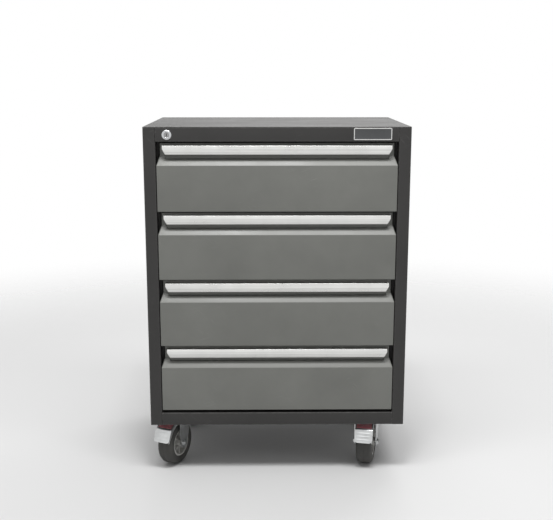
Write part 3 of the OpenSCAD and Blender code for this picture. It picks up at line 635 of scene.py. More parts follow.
# %% Fourteen screws
zinc, fine_sharp = ("zinc_plate", caster_zinc), 30
screw_r, screw_h, dome_angle = 4 * mm, 1.5 * mm, 0.95
socket_top, socket_foot, socket_deep = 1.5 * mm, 1.4 * mm, 1 * mm


def hexagon(angle, radius):
    """Distance to a hexagon's side: its nearest distance over the cosine of the angle from its middle."""
    return radius * math.cos(math.pi / 6) / np.cos((angle + np.pi / 6) % (np.pi / 3) - np.pi / 6)


def screw_head(x, z, face, turn):
    """A domed head on a face that looks along +Y: rings of (distance, height), the last two six-sided."""
    a = circle_angles(24)
    dome = dome_angle * np.linspace(0, 1, 5)[:, None]
    r = np.vstack([screw_r * np.cos(dome) + 0 * a, hexagon(a, np.array([[socket_top], [socket_foot]]))])
    y = screw_h * np.sin(dome) / math.sin(dome_angle)
    y = np.vstack([y, y[-1:], y[-1:] - socket_deep])
    return skin(about_axis(r, a + turn, face + y, (x, 0, z), "y"), caps=True)


lo, hi = box("panel_screws")
rows = np.linspace(lo[2] + screw_r, hi[2] - screw_r, 7)
screws = [screw_head(side * (hi[0] - screw_r), z, lo[1], turn=0.7 * k + side)
          for side in (-1, 1) for k, z in enumerate(rows)]
piece("back_screws", together(*screws), "root", zinc, "panel_screws", sharp=fine_sharp)
print(len(screws), "screws")

# %% [markdown]
# ## Badge
# The badge is a small plate with a raised metal rim round a dark, empty field. The rim's section is one list of
# (inset, height) steps, and the field is the faces inside it, which take a second material.

# %% Badge plate
lo, hi = box("badge_plate")
middle, deep = (lo + hi) / 2, hi[1] - lo[1]
badge_r, field_h, field_half = 3 * mm, 0.42, 13 * mm
# Each step: the inset in millimetres, and the height as a share of the plate's depth.
rim = [(0, 0), (0, 0.7), (0.1, 0.88), (0.35, 1), (2.0, 1), (2.25, 0.9), (2.4, 0.5), (2.9, field_h)]
rim = [(inset * mm, hi[1] - share * deep) for inset, share in rim]
badge = slab(middle[[0, 2]], (hi - lo)[[0, 2]], badge_r, rim, axes="xzy")
badge = piece("badge", badge, "root", ("badge_metal", badge_metal, badge_field), "badge_plate")
print("badge field faces", second_material(badge, lambda x, y, z: (
    abs(y - (hi[1] - field_h * deep)) < 0.1 * mm) & (abs(z - middle[2]) < field_half)))

# %% [markdown]
# ## Lock
# A chromed ring stands on the top rail, with a plug in it that turns with the key. The ring is a small profile
# turned about the lock's axis, and a nut behind the rail holds it. The plug's face goes from a circle to the
# long narrow keyway and down into it, so the keyway is a real hole, not a painted mark. Its faces deep inside
# are painted near-black: painted shade for the inside of the hole.

# %% Ring and barrel
(_, front, _), (_, back, _) = box("lock_housing")
plug_lo, plug_hi = box("lock_plug")
lock_at, plug_r = (plug_lo + plug_hi) / 2, (plug_hi - plug_lo)[0] / 2
hole_r, ring_r, barrel_r, nut_r, nut_h = plug_r + 0.06 * mm, 12.5 * mm, 9 * mm, 13 * mm, 4 * mm
seat, lock_sharp = front + 2 * mm, 40
# Each point: a radius, what is added to it and the place behind the front, both in millimetres.
ring = [(r + more * mm, front + behind * mm) for r, more, behind in (
    (hole_r, 0, 0.9), (hole_r, 0.25, 0.35), (hole_r, 0.7, 0.08), (hole_r, 1.2, 0), (ring_r, -3.2, 0.25),
    (ring_r, -1.7, 0.65), (ring_r, -0.6, 1.2), (ring_r, 0, 1.8))]
ring += [(ring_r, seat), (barrel_r, seat), (barrel_r, back - 0.4 * mm), (barrel_r - 0.4 * mm, back),
         (hole_r, back)]
six = hexagon(circle_angles(48), nut_r)
nut_y = seat + sheet
nut = ring_stack([(barrel_r, nut_y), (six, nut_y), (six, nut_y + nut_h - 0.6 * mm),
                  (np.minimum(six, nut_r - 0.8 * mm), nut_y + nut_h), (barrel_r, nut_y + nut_h)], lock_at)
piece("lock_ring", together(turned(ring, lock_at, segments=72), skin(nut, along=True)), "root",
      ("lock_chrome", lock_chrome), "lock_housing", sharp=lock_sharp)
print("lock ring", round(2 * ring_r, 4), "wide")

# %% Plug with its keyway
key_w, key_h, key_deep, plug_edge = 1.6 * mm, 8 * mm, 7 * mm, 0.4 * mm
round_a = circle_angles(48)


def keyway(width):
    """The outline of a slot: a circle whose upper and lower halves are moved apart."""
    apart = np.where(np.sin(round_a) >= 0, 1, -1) * (key_h - key_w) / 2
    return np.stack([width / 2 * np.cos(round_a), width / 2 * np.sin(round_a) + apart], 1)


front, back = plug_lo[1], plug_hi[1]
circle = np.stack([np.cos(round_a), np.sin(round_a)], 1)
steps = [(plug_r * circle, back), (plug_r * circle, front + plug_edge), ((plug_r - plug_edge) * circle, front),
         (0.7 * plug_r * circle, front), (keyway(key_w + 0.5 * mm), front), (keyway(key_w), front + 0.25 * mm),
         (keyway(key_w), front + key_deep)]
rings = [on_axes(lock_at[0] + flat[:, 0], lock_at[2] + flat[:, 1], y, "xzy") for flat, y in steps]
plug = piece("plug", skin(rings, caps=True), "lock", ("lock_chrome", plug_steel, painted_keyway_shade), "lock_plug",
             sharp=lock_sharp)
# Faces more than 1 mm inside the keyway take the near-black painted shade.
print("dark faces in the keyway", second_material(plug, lambda x, y, z: (
    y > front + 1 * mm) & (abs(x - lock_at[0]) < key_w) & (y < back - 1 * mm)))

# %% [markdown]
# ## Drawer fronts
# A front is one pressed sheet: a tall flat face, a sloping band above it, and a recess for the hand. Solid
# horns close the recess at both ends. A box with a cut in it would have neither the slope nor the round folds,
# so it is a surface of two parameters, one up the section and one across the width. The section blends from
# the recess's to the horn's near each end, and the sides turn back with a small radius.

# %% The shape of a front
face_h, slope_h, slope_d, recess_d = 121 * mm, 16 * mm, 13 * mm, 20 * mm
horn_w, recess_inset, return_d, fold = 15 * mm, 8 * mm, 21.2 * mm, 2.2 * mm
horn_top = face_h + recess_d * slope_h / slope_d


def front_section(height, depth, *ledge):
    """The section as (behind the face, height): flange, face, what the ledge gives, recess and top flange."""
    corners = [(return_d, 0), (0, 0), (0, face_h), *ledge, (recess_d, height), (depth, height)]
    return bent_line(corners, fold)


def drawer_front(lo, hi):
    """Across: side return, quarter round, horn, cheek, recess, and the same back. The section is the recess's
    or the horn's, and the width narrows with the horn."""
    half, slope_top = hi[0], face_h + slope_h
    depth, height = (hi - lo)[1:]
    inner = front_section(height, depth, (slope_d, slope_top), (recess_d, slope_top))
    outer = front_section(height, depth, (slope_d, slope_top), (recess_d, horn_top))
    behind, up = outer.T
    wide = np.interp(up, [face_h, horn_top], [half, half - recess_inset])
    edge = np.maximum(return_d, behind)
    corner = np.clip(edge - behind, 0, fold)
    columns = [(wide, edge, up)]
    for t in np.linspace(0, np.pi / 2, 6):
        columns.append((wide - corner * (1 - np.cos(t)), behind + corner * (1 - np.sin(t)), up))
    cheek = half - recess_inset - horn_w
    # Each column: how far outside the cheek in millimetres, and the share of the recess's section.
    for outside, share in ((0.9, 0.0), (0.5, 0.15), (0, 0.85), (-0.4, 1.0)):
        section = outer * (1 - share) + inner * share
        columns.append((cheek + outside * mm + 0 * wide, *section.T))
    right = np.stack([np.stack(c, -1) for c in columns])
    return np.vstack([right, (right * [-1, 1, 1])[::-1]]) + [0, lo[1], lo[2]]


for d in drawers:
    lo, hi = box(d + "_front")
    piece(d + "_panel", skin(drawer_front(lo, hi), around=False), d, ("front_paint", front_paint), d + "_front",
          solidify=sheet, sharp=28)
print("drawer fronts", np.round(hi - lo, 4))

# %% [markdown]
# ## Handle bars
# Each handle is one aluminium extrusion: a slightly round bar in front, a web over the fingers, and a flange
# against the recess. Its section is carried across the drawer. The ends are cut at a slant at the bottom, so
# each point of the outline gets an end of its own.

# %% The extruded bar
bar_t, bar_r, flange_h, lip_d = 2.2 * mm, 30 * mm, 14 * mm, 7 * mm
end_taper, taper_from = 8 * mm, 3 * mm


def arc_points(centre, radius, start, stop, steps=16):
    """Points on a circle from one angle to another, in degrees."""
    a = np.radians(np.linspace(start, stop, steps + 1))
    return np.stack([centre[0] + radius * np.cos(a), centre[1] + radius * np.sin(a)], 1)


for d in drawers:
    (_, front, bottom), (half, back, top) = box(d + "_handle")
    back, centre, bar_h = back - front, (bar_r, (top + bottom) / 2), top - bottom
    wide_a = math.degrees(math.asin(bar_h / 2 / bar_r))
    slim_a = math.degrees(math.asin((bar_h / 2 - bar_t) / (bar_r - bar_t)))
    outline = np.vstack([
        arc_points(centre, bar_r, 180 + wide_a, 180 - wide_a),
        [(back, top), (back, top - flange_h), (back - bar_t, top - flange_h), (back - bar_t, top - bar_t)],
        arc_points(centre, bar_r - bar_t, 180 - slim_a, 180 + slim_a),
        [(lip_d, bottom + bar_t), (lip_d, bottom)]]) + [front, 0]
    rings = carried(outline, (-1, 1), "yzx")
    slant = centre[1] + taper_from
    rings[:, :, 0] *= half - end_taper * np.clip((slant - outline[:, 1]) / (slant - bottom), 0, 1)
    piece(d + "_bar", skin(rings, caps=True), d, ("handle_aluminium", bar_aluminium), d + "_handle",
          bevel=0.45 * mm, segments=3)
print("bars", round(2 * half, 4), "long")

# %% [markdown]
# ## Drawer boxes and liners
# Behind each front is a folded tray with a rim along its sides and a hook-shaped catch at the back. The tray is
# a rounded rectangle drawn up the outside, over the edge and down the inside. The liner is a ribbed mat, whose
# height is a wave across the drawer with flattened crests.

# %% Trays
tray_t, rim_w, tray_r, tray_edge = 1.0 * mm, 5 * mm, 2.5 * mm, 0.3 * mm
catch_reach, catch_t, catch_low, catch_high = 12 * mm, 2 * mm, 92 * mm, 104 * mm
catch_half, catch_bend, catch_in = 5 * mm, 2.4 * mm, 7 * mm
rim_shorter, rim_r, foot_fold = 12 * mm, 1.5 * mm, 0.5 * mm
catch_x = box("lock_bar")[1][0] - catch_in
for d in drawers:
    (_, y0, low), (half, y1, top) = box(d + "_box")
    half, back, in_low = half - rim_w, y1 - catch_reach, low + tray_t
    walls = [(0.4 * tray_r, low), (0, low + 0.4 * tray_r), (0, top - tray_edge), (tray_edge, top),
             (tray_t - tray_edge, top), (tray_t, top - tray_edge), (tray_t, in_low + foot_fold),
             (tray_t + foot_fold, in_low)]
    mid_y = (y0 + back) / 2
    tray = slab((0, mid_y), (2 * half, back - y0), tray_r, walls)
    rims = [slab((side * (half + rim_w / 2), mid_y), (rim_w, back - y0 - rim_shorter), rim_r,
                 soft_edge(top - tray_t, top, tray_edge)) for side in (-1, 1)]
    hook = [(back - 0.5 * mm, low + catch_high), (y1, low + catch_high), (y1, low + catch_low)]
    catch = bar(sheet_outline(hook, catch_t, catch_bend), (catch_x - catch_half, catch_x + catch_half), "yzx")
    piece(d + "_tray", together(tray, *rims, catch), d, ("box_paint", box_paint), d + "_box", sharp=40)
print("trays", round(2 * half, 4), "wide, catch at x", round(catch_x, 4))

# %% Ribbed liners
rib_pitch, rib_h, rib_points, crest_cut = 7 * mm, 0.7 * mm, 8, 1.5
for d in drawers:
    lo, hi = box(d + "_liner")
    ribs = int((hi[0] - lo[0]) / rib_pitch)
    t = np.linspace(0, 1, ribs * rib_points + 1)
    wave = np.clip(crest_cut * np.sin(2 * np.pi * ribs * t), -1, 1) / 2 + 0.5
    crest = np.stack([lo[0] + (hi[0] - lo[0]) * t, hi[2] - rib_h * (1 - wave)], 1)
    outline = np.vstack([crest, [(hi[0], lo[2]), (lo[0], lo[2])]])
    mat = bar(outline, (lo[1], hi[1]), "xzy")
    piece(d + "_mat", mat, d, ("liner_foam", liner_rubber), d + "_liner", sharp=50)
print("liners with", ribs, "ribs")

# %% [markdown]
# ## Telescopic slides
# A slide is three steel channels, one inside the other, with balls in a thin cage between them. Plain boxes
# would do while the drawers are shut. The channels are drawn as bent sheet with round raceways instead, since
# a pulled drawer shows its slides from the side, with their ball rows and the screws that hold them.

# %% The members of a slide
slide, slide_sharp = ("slide_zinc", slide_steel), 40
slide_t, slide_w, raceway = 1.2 * mm, 13 * mm, 2.1 * mm
ball_r, ball_pitch, ball_end, cage_half, cage_h, cage_end = (v * mm for v in (1.5, 9, 6, 0.3, 3.2, 2))
case_x = box("slide_outer_members")[1][0]
box_x = case_x - slide_w
middle_x = box_x + slide_w / 2 + 0.4 * mm
ball_x = middle_x + 2.7 * mm


def channel(web, tip, z, half, ends):
    """A channel with its web at x = web and flanges that reach to x = tip: a bent line given a thickness."""
    line = [(tip, z - half), (web, z - half), (web, z + half), (tip, z + half)]
    return bar(sheet_outline(line if tip > web else line[::-1], slide_t, raceway), ends, "xzy")


def ball(centre, rings=6, segments=8):
    """A sphere: rings of radius sin(t) at height cos(t), from pole to pole along Y."""
    t = np.linspace(0, np.pi, rings + 1)[:, None]
    along = centre[1] + ball_r * np.cos(t)
    return skin(about_axis(ball_r * np.sin(t), circle_angles(segments), along, centre, "y"))


def cage(start, end, ends):
    """The thin strip that holds a row of balls, from their middle's height towards the slide's middle."""
    left, right, (low, high) = ball_x - cage_half, ball_x + cage_half, sorted((start, end))
    return bar([(left, low), (right, low), (right, high), (left, high)], ends, "xzy")


def on_both_sides(*skins):
    """The same skins at the chest's right and left."""
    return together(*skins, *[mirrored(s) for s in skins])


# %% Outer, middle and inner members
outer_tip, inner_tip = box_x + 3.5 * mm, middle_x - slide_t / 2 - 0.6 * mm
middle_tips = case_x - slide_t - 0.7 * mm, box_x + 3.7 * mm
screw_from_end, screw_count, web = 25 * mm, 5, box_x + slide_t
head = [(0, 0.9), (2.4, 0.9), (3.2, 0.4), (3.2, -0.3), (0, -0.3)]
head = [(r * mm, web + out * mm) for r, out in head]
(_, y0, _), (_, y1, top) = box("slide_outer_members")
slide_z = {d: np.mean(box(d + "_slide_middle"), axis=0)[2] for d in drawers}
out_half = top - slide_z["drawer_1"]
outers = [channel(case_x, outer_tip, z, out_half, (y0, y1)) for z in slide_z.values()]
piece("outer_slides", on_both_sides(*outers), "root", slide, "slide_outer_members", sharp=slide_sharp)
for d, z in slide_z.items():
    (_, y0, _), (_, y1, top) = box(d + "_slide_middle")
    ball_z = top - z - slide_t - ball_r
    members = [channel(middle_x + side * slide_t / 2, tip, z, top - z, (y0, y1))
               for side, tip in zip((-1, 1), middle_tips)]
    cages = [cage(z + side * ball_z, z + side * (ball_z - cage_h), (y0 + cage_end, y1 - cage_end))
             for side in (-1, 1)]
    ball_y = np.arange(y0 + ball_end, y1 - ball_end, ball_pitch)
    balls = [ball((ball_x, y, z + side * ball_z)) for side in (-1, 1) for y in ball_y]
    piece(d + "_middle", on_both_sides(*members, *cages, *balls), d + "_slides", slide, d + "_slide_middle",
          sharp=slide_sharp)
    (_, y0, _), (_, y1, top) = box(d + "_slide_inner")
    inner = channel(box_x, inner_tip, z, top - z, (y0, y1))
    screws = [turned(head, (0, y, z), "x", 20, closed=False)
              for y in np.linspace(y0 + screw_from_end, y1 - screw_from_end, screw_count)]
    piece(d + "_inner", on_both_sides(inner, *screws), d, slide, d + "_slide_inner", sharp=slide_sharp)
print("slides with", 4 * len(ball_y), "balls in each middle member")

# %% [markdown]
# ## Casters
# Four casters carry the chest. The front two swivel and have a foot brake, the rear two are fixed. Each is
# drawn in a frame of its own, ahead, across and up, and then placed by its joints. Forks are pressed steel, so
# they are sheets with round bends; tyres, cores and races are turned profiles.

# %% A caster's own frame
wheel_at = {w: np.array(joints[w + "_wheel_spin"]["pos_m"]) for w in wheels}
wheel_r = wheel_at["rear_left"][2]
plate_top = box("front_caster_plates")[1][2]
plate_bottom = plate_top - 3 * mm


def stand(wheel):
    """Where a caster stands, the directions ahead and across, and how far ahead its wheel is."""
    across = np.array(joints[wheel + "_wheel_spin"]["axis"][:2])
    ahead = np.array([across[1], -across[0]])
    at = np.array(joints[wheel + "_swivel"]["pos_m"][:2]) if wheel in front_casters else wheel_at[wheel][:2]
    return at, ahead, across, float((wheel_at[wheel][:2] - at) @ ahead)


def placed(skinned, wheel):
    """Turns a skin drawn ahead, across and up into the chest's frame."""
    points, faces = skinned
    at, ahead, across, _ = stand(wheel)
    return np.hstack([points[:, :1] * ahead + points[:, 1:2] * across + at, points[:, 2:]]), faces


trail = stand("front_left")[3]
print("the front wheels trail by", round(trail, 4))


# %% Nuts and threads
thread_deep, thread_tip = 0.35 * mm, 0.9 * mm


def hex_nut(radius, start, end):
    """Sections of a nut or bolt head from its seat to its free face. A cone cuts the corners at the free face:
    each step is how far it lies before the face, and the share of the radius that the cone leaves."""
    six, way = hexagon(circle_angles(48), radius), np.sign(end - start)
    cone = [(np.minimum(six, share * radius), end - way * before * mm)
            for before, share in ((1.1, 1), (0.45, 0.955), (0, 0.86))]
    return [(six, start)] + cone


def threads(radius, start, end, turns=4):
    """Sections of a bolt's threaded end: ridges and hollows by turns, and a cone at the tip."""
    places = np.linspace(start, end, 2 * turns + 1)
    return [(radius - thread_deep * (k % 2), y) for k, y in enumerate(places)] + [(radius - thread_tip, end)]


print("a nut has", len(hex_nut(1, 0, 1)), "sections")

# %% [markdown]
# ### Wheels
# The tyre's profile has a wide flat tread, round shoulders, a groove in each sidewall and a bead that grips
# the core. The core is one moulding: its web is a turned surface that rises into eight ribs, so the height is
# a function of the angle as well as the radius.

# %% Tyres and cores
tyre_half, core_r, shoulder = 22.5 * mm, 39 * mm, 13 * mm
rib_count, rib_half, rib_draft = 8, math.radians(2.6), math.radians(0.9)
# The core's section between two ribs: radius, distance from the middle, and what a rib adds, in millimetres.
core_section = [(5.06, 25, 0), (11.2, 25, 0), (12, 24.2, 0), (12.4, 4, 14.5), (13.4, 3, 14.5), (23, 3, 12.5),
                (33.4, 3, 11), (34.2, 4, 11), (34.5, 20.1, 0), (34.9, 20.5, 0), (38.6, 20.5, 0), (39, 20.1, 0)]


def tyre(centre):
    """A turned profile of (radius, across): bead, sidewall with a groove, round shoulder and tread. One half
    is drawn as far as the seam in the tread, and the other mirrors it."""
    a = np.radians(np.linspace(-90, 0, 10))
    bead = [(core_r + 0.06 * mm, 4 * mm), (core_r + 1.2 * mm, 0.9 * mm), (core_r + 2.2 * mm, 0)]
    groove = in_mm([(44.0, 0), (44.4, 0.5), (45.6, 0.5), (46.0, 0)])
    bend = np.stack([wheel_r - shoulder + shoulder * np.cos(a), shoulder + shoulder * np.sin(a)], 1)
    near = np.vstack([bead, groove, bend]) - [0, tyre_half]
    near = np.vstack([near, [(wheel_r, -0.5 * mm), (wheel_r - 0.25 * mm, -0.2 * mm)]])
    return turned(np.vstack([near, (near * [1, -1])[::-1]]), centre, "y", 96)


def wheel_core(centre):
    """The section at each angle, out on one side and back on the other. Near a rib's angle the web is lifted
    by what the rib adds."""
    pitch, rib_foot = 2 * np.pi / rib_count, rib_half + rib_draft
    steps = np.concatenate([[-rib_foot, -rib_half, rib_half, rib_foot],
                            np.linspace(rib_foot, pitch - rib_foot, 8)[1:-1]])
    a = (np.arange(rib_count)[:, None] * pitch + steps).reshape(-1, 1)
    away = abs((a + pitch / 2) % pitch - pitch / 2)
    lift = np.clip((rib_foot - away) / rib_draft, 0, 1)
    r, side, rib = np.array(core_section).T * mm
    side = side + rib * lift
    across = np.hstack([side, -side[:, ::-1]])
    return skin(about_axis(np.append(r, r[::-1]), a, centre[1] + across, centre, "y"), along=True)


for w in wheels:
    centre, body = (stand(w)[3], 0, wheel_r), w + "_wheel"
    piece(w + "_rubber", placed(tyre(centre), w), body, ("tyre_rubber", tyre_rubber), w + "_tyre", sharp=50)
    piece(w + "_core", placed(wheel_core(centre), w), body, ("core_plastic", core_plastic), w + "_wheel_core",
          sharp=32)
print("wheels of", round(2000 * wheel_r), "mm with", rib_count, "ribs")

# %% [markdown]
# ### Forks
# A fork is one pressing: a leg, a bend, the crown, a bend and the other leg. Its surface has one parameter
# across that whole line and one from the back edge to the front edge, which the height gives. A low swage
# down the middle of each leg stiffens it. Solidify then gives the sheet its thickness.

# %% The shape of a fork
fork_half, fork_t, fork_bend, boss_r, swage_h = 28.5 * mm, 3 * mm, 4 * mm, 15 * mm, 0.9 * mm
foot_a, boss_rows, boss_end, bend_rows = 22, [22, 34, 46, 58], 62, [10, 30, 50, 70, 90]
swage_foot, swage_full, swage_part = 70 * mm, 80 * mm, [0.2, 0.32, 0.68, 0.8]


def edge_line(places, heights):
    """An edge of the leg as heights and places ahead, both given in millimetres."""
    return np.array(heights) * mm, np.array(places) * mm


def pressed_fork(trail, top, back, front, crown):
    """Rows of points from one axle boss over the crown to the other. Below boss_top the edges follow the round
    boss, above it the lines back and front, which count from the axle. crown gives the top's edges for a place
    across."""
    sweep = np.linspace(0, 1, 16)
    boss_top = wheel_r - boss_r * math.cos(math.radians(boss_end))
    bend_from = top - fork_bend
    # Rows up the leg: round the boss, to the swage's full height, along it, and over its end to the bend.
    heights = [wheel_r - boss_r * np.cos(np.radians(boss_rows)),
               np.linspace(boss_top, swage_full - 2 * mm, 4),
               np.linspace(swage_full + 2 * mm, bend_from - 15 * mm, 8),
               np.linspace(bend_from - 12 * mm, bend_from, 5)]
    foot = np.radians(foot_a) * (2 * sweep - 1)
    leg = [on_axes(trail + boss_r * np.sin(foot), fork_half, wheel_r - boss_r * np.cos(foot), "xyz")]

    def row(start, stop, across, height):
        leg.append(on_axes(start + (stop - start) * sweep, across, height, "xyz"))

    for z in np.concatenate(heights):
        if z < boss_top:
            half = math.sqrt(boss_r ** 2 - (wheel_r - z) ** 2)
            start, stop = -half, half
        else:
            start, stop = (np.interp(z, *edge) for edge in (back, front))
        swage = swage_h * np.interp(z, [swage_foot, swage_full, top - 30 * mm, top - 20 * mm], [0, 1, 1, 0])
        swage = swage * np.interp(sweep, swage_part, [0, 1, 1, 0])
        row(trail + start, trail + stop, fork_half + swage, z)
    for a in np.radians(bend_rows):
        v = fork_half - fork_bend * (1 - math.cos(a))
        row(*crown(v), v, top - fork_bend * (1 - math.sin(a)))
    for v in np.linspace(fork_half - fork_bend, 0, 8)[1:-1]:
        row(*crown(v), v, top)
    leg = np.array(leg)
    return skin(np.vstack([leg, (leg * [1, -1, 1])[::-1]]), around=False)


shank_r, axle_nut_r, nut_from, nut_to, axle_end = 5 * mm, 9.2 * mm, 29.9 * mm, 35.7 * mm, 37.7 * mm
washer = [(10.5, 28.5), (11, 28.8), (11, 29.6), (10.5, 29.9)]


def axle(wheel):
    """A bolt through the fork: washers, a nut at each end, threads beyond the nuts and the shank between."""
    centre = (stand(wheel)[3], 0, wheel_r)
    ends = [stacked(s, centre) for side in (-1, 1) for s in (
        in_mm(washer, side), hex_nut(axle_nut_r, side * nut_from, side * nut_to),
        threads(shank_r, side * (nut_to - 0.1 * mm), side * axle_end))]
    return placed(together(stacked(in_mm([(5, -29), (5, 29)]), centre), *ends), wheel)


print("a fork is", fork_half * 2, "wide")

# %% Front forks
crown_top = joints["front_left_swivel"]["pos_m"][2]
pedal_at = np.array([trail + 8 * mm, joints["front_left_brake_press"]["pos_m"][2]])
pivot = (pedal_at[0], 0, pedal_at[1])
crown_r, crown_back, crown_front = 34 * mm, 24 * mm, pedal_at[0] - 13 * mm
rivet = [(4, 25.1), (4, 28.6), (6.5, 28.6), (6.2, 29.6), (4.5, 30.3), (2, 30.6)]
fork_edges = (edge_line([-13.3, -27, -38, -79, -79], [55.5, 96.5, 128.5, 134.5, 140]),
              edge_line([13.3, 21, 16, 13], [55.5, 96.5, 134.5, 140]))


def swivel_crown(v):
    """The crown follows the race's circle behind, and ends in front where the pedal's arms hang."""
    return -max(crown_back, math.sqrt(max(crown_r ** 2 - v ** 2, 0))), crown_front


for c in front_casters:
    fork = pressed_fork(stand(c)[3], crown_top, *fork_edges, swivel_crown)
    rivets = [stacked(in_mm(rivet, side), pivot) for side in (-1, 1)]
    piece(c + "_pressing", placed(fork, c), c + "_caster", zinc, c + "_fork", solidify=fork_t, bevel=0.5 * mm,
          sharp=32)
    piece(c + "_rivets", placed(together(*rivets), c), c + "_caster", zinc, sharp=40)
    piece(c + "_axle_bolt", axle(c), c + "_caster", zinc, c + "_axle", sharp=25)
print("front forks up to", round(crown_top, 4))

# %% Rear forks
crown_half, heights = 34 * mm, [55.5, 96.5, 139, 152]
fork_edges = edge_line([-13.3, -22, -34, -34], heights), edge_line([13.3, 22, 34, 34], heights)
for w in rear_casters:
    fork = pressed_fork(0, plate_bottom, *fork_edges, lambda v: (-crown_half, crown_half))
    piece(w + "_pressing", placed(fork, w), "root", zinc, "rear_caster_forks", solidify=fork_t, bevel=0.5 * mm,
          sharp=32)
rear_axles = together(*[axle(w) for w in rear_casters])
piece("rear_axle_bolts", rear_axles, "root", zinc, "rear_caster_axles", sharp=25)
print("rear forks up to", round(plate_bottom, 4))

# %% [markdown]
# ### Plates, races and bolts
# Each caster is bolted to the pan by a plate with round corners. Under the front plates sits the upper race
# of the swivel, a shallow cup, and the head of the kingpin closes the fork from below. The real plates are
# stamped and the rest is turned, so a plate is a rounded outline with a soft edge, a race or pin is a turned
# profile, and nuts and bolts are rings that go from six sides to a circle.

# %% Mounting plates, races and kingpins
pin_r, pin_end, cup_foot = 5.9 * mm, crown_top - 4.4 * mm, crown_top + 0.5 * mm
plate_size, plate_r, plate_soft = (90 * mm, 110 * mm), 9 * mm, 0.5 * mm


def mounting_plate(wheel):
    """The plate under the pan: a rounded rectangle with soft edges."""
    return slab(stand(wheel)[0], plate_size, plate_r, soft_edge(plate_bottom, plate_top, plate_soft))


cup = [(pin_r, plate_bottom + 1 * mm)]
cup += [(r * mm, level + more * mm) for r, level, more in (
    (35.0, plate_bottom, 0.1), (35.2, plate_bottom, -1.5), (33.2, plate_bottom, -3.4), (32.4, cup_foot, 2.2),
    (31.2, cup_foot, 0.5), (28, cup_foot, 0))]
cup += [(pin_r, cup_foot)]
pin = [(0, plate_bottom), (pin_r, plate_bottom), (pin_r, pin_end), (0, pin_end)]
head = hex_nut(11 * mm, crown_top - 4.5 * mm, crown_top - 8.5 * mm)
race_and_pin = []
for c in front_casters:
    at = stand(c)[0]
    race_and_pin += [mounting_plate(c), turned(cup, at, "z", 72), turned(pin, at, "z", 32, closed=False),
                     stacked(head, at, axis="z")]
piece("front_plates", together(*race_and_pin), "root", zinc, "front_caster_plates", sharp=fine_sharp)
rear_plates = together(*[mounting_plate(w) for w in rear_casters])
piece("rear_plates", rear_plates, "root", zinc, sharp=fine_sharp)
print("plates at", round(plate_bottom, 4))

# %% Sixteen bolts
bolt_r, hex_r, head_h, hex_h, bolt_x, bolt_y = 4 * mm, 7.5 * mm, 5 * mm, 6.5 * mm, 32 * mm, 42 * mm
pan_face = plate_top + sheet
thread_from, thread_to = pan_face + 6 * mm, pan_face + 9 * mm
shank = [(bolt_r, plate_bottom - 1 * mm), (bolt_r, thread_from), *threads(bolt_r, thread_from, thread_to)]
bolts = []
for w in wheels:
    for sx, sy in ((-1, -1), (-1, 1), (1, -1), (1, 1)):
        at = stand(w)[0] + [sx * bolt_x, sy * bolt_y]
        bolts += [stacked(hex_nut(hex_r, plate_bottom, plate_bottom - head_h), at, axis="z"),
                  stacked(shank, at, axis="z", segments=24),
                  stacked(hex_nut(hex_r, pan_face, pan_face + hex_h), at, axis="z")]
piece("plate_bolts", together(*bolts), "root", zinc, "caster_bolts", sharp=25)
print(len(bolts) // 3, "plate bolts")

# %% [markdown]
# ### Foot brakes
# A brake is a bent plate between two arms that hang on the fork, with a red moulded pad on its upper slope.
# The plate is a surface along its bent line and across its width, which narrows in a quarter circle at the
# tip. Low ridges for the shoe are raised on the lower slope, and the pad has ribs of its own.

# %% The plate of a pedal
pedal_t, arm_out, tip_r, tip_share, pedal_bend = 2 * mm, 24.9 * mm, 9 * mm, 0.98, 4 * mm
ridge_h, ridge_count, ridge_gain, ridge_side, ridge_fade = 0.5 * mm, 4, 2.2, 0.78, 0.1
ridges_from, ridges_to, tip_gap, side_gap = 0.18, 0.9, 0.3 * mm, 0.3 * mm


def round_wheel(distance, angle):
    """A point so far outside the wheel, at an angle above level, seen from the side."""
    a = math.radians(angle)
    return np.array([trail, wheel_r]) + (wheel_r + distance) * np.array([math.cos(a), math.sin(a)])


def slope(start, end):
    """The direction from one point to another, the direction to its left, and the distance."""
    length = np.linalg.norm(end - start)
    along = (end - start) / length
    return along, np.array([-along[1], along[0]]), length


heel, knee, tip = round_wheel(10 * mm, 68), round_wheel(13 * mm, 43), round_wheel(10 * mm, 15)
(along, up, upper), (_, out, lower) = slope(heel, knee), slope(knee, tip)


def pedal_plate(rows=64, columns=21):
    """The outer side of the plate. Ridges stand on the lower slope, along the line's own normal: they are the
    tops of a sine wave, cut flat, and they fade out before the plate's sides."""
    line = bent_line([heel, knee, tip], pedal_bend, pedal_t)
    run = np.concatenate([[0], np.cumsum(np.linalg.norm(np.diff(line, axis=0), axis=1))])
    length = run[-1] - tip_gap
    s = np.linspace(0, length, rows)
    path = np.stack([np.interp(s, run, line[:, k]) for k in (0, 1)], 1)
    way = np.gradient(path, axis=0)
    normal = np.stack([-way[:, 1], way[:, 0]], 1) / np.linalg.norm(way, axis=1)[:, None]
    near_tip = np.clip((s - (length - tip_r)) / tip_r, 0, 1)
    half = arm_out - side_gap - tip_r * (1 - np.sqrt(1 - near_tip ** 2)) * tip_share
    place = (s - (length - lower)) / lower
    wave = np.clip(ridge_gain * np.sin(2 * np.pi * ridge_count * (place - 0.2)) - 1.0, 0, 1)
    across = np.linspace(-1, 1, columns)
    ridge = ridge_h * (wave * (place > ridges_from) * (place < ridges_to))[:, None]
    ridge = ridge * np.clip((ridge_side - np.abs(across)) / ridge_fade, 0, 1)
    points = path[:, None] + normal[:, None] * ridge[..., None]
    return skin(on_axes(points[..., 0], half[:, None] * across, points[..., 1], "xyz"), around=False)


print("a pedal's slopes are", round(upper, 4), "and", round(lower, 4), "long")

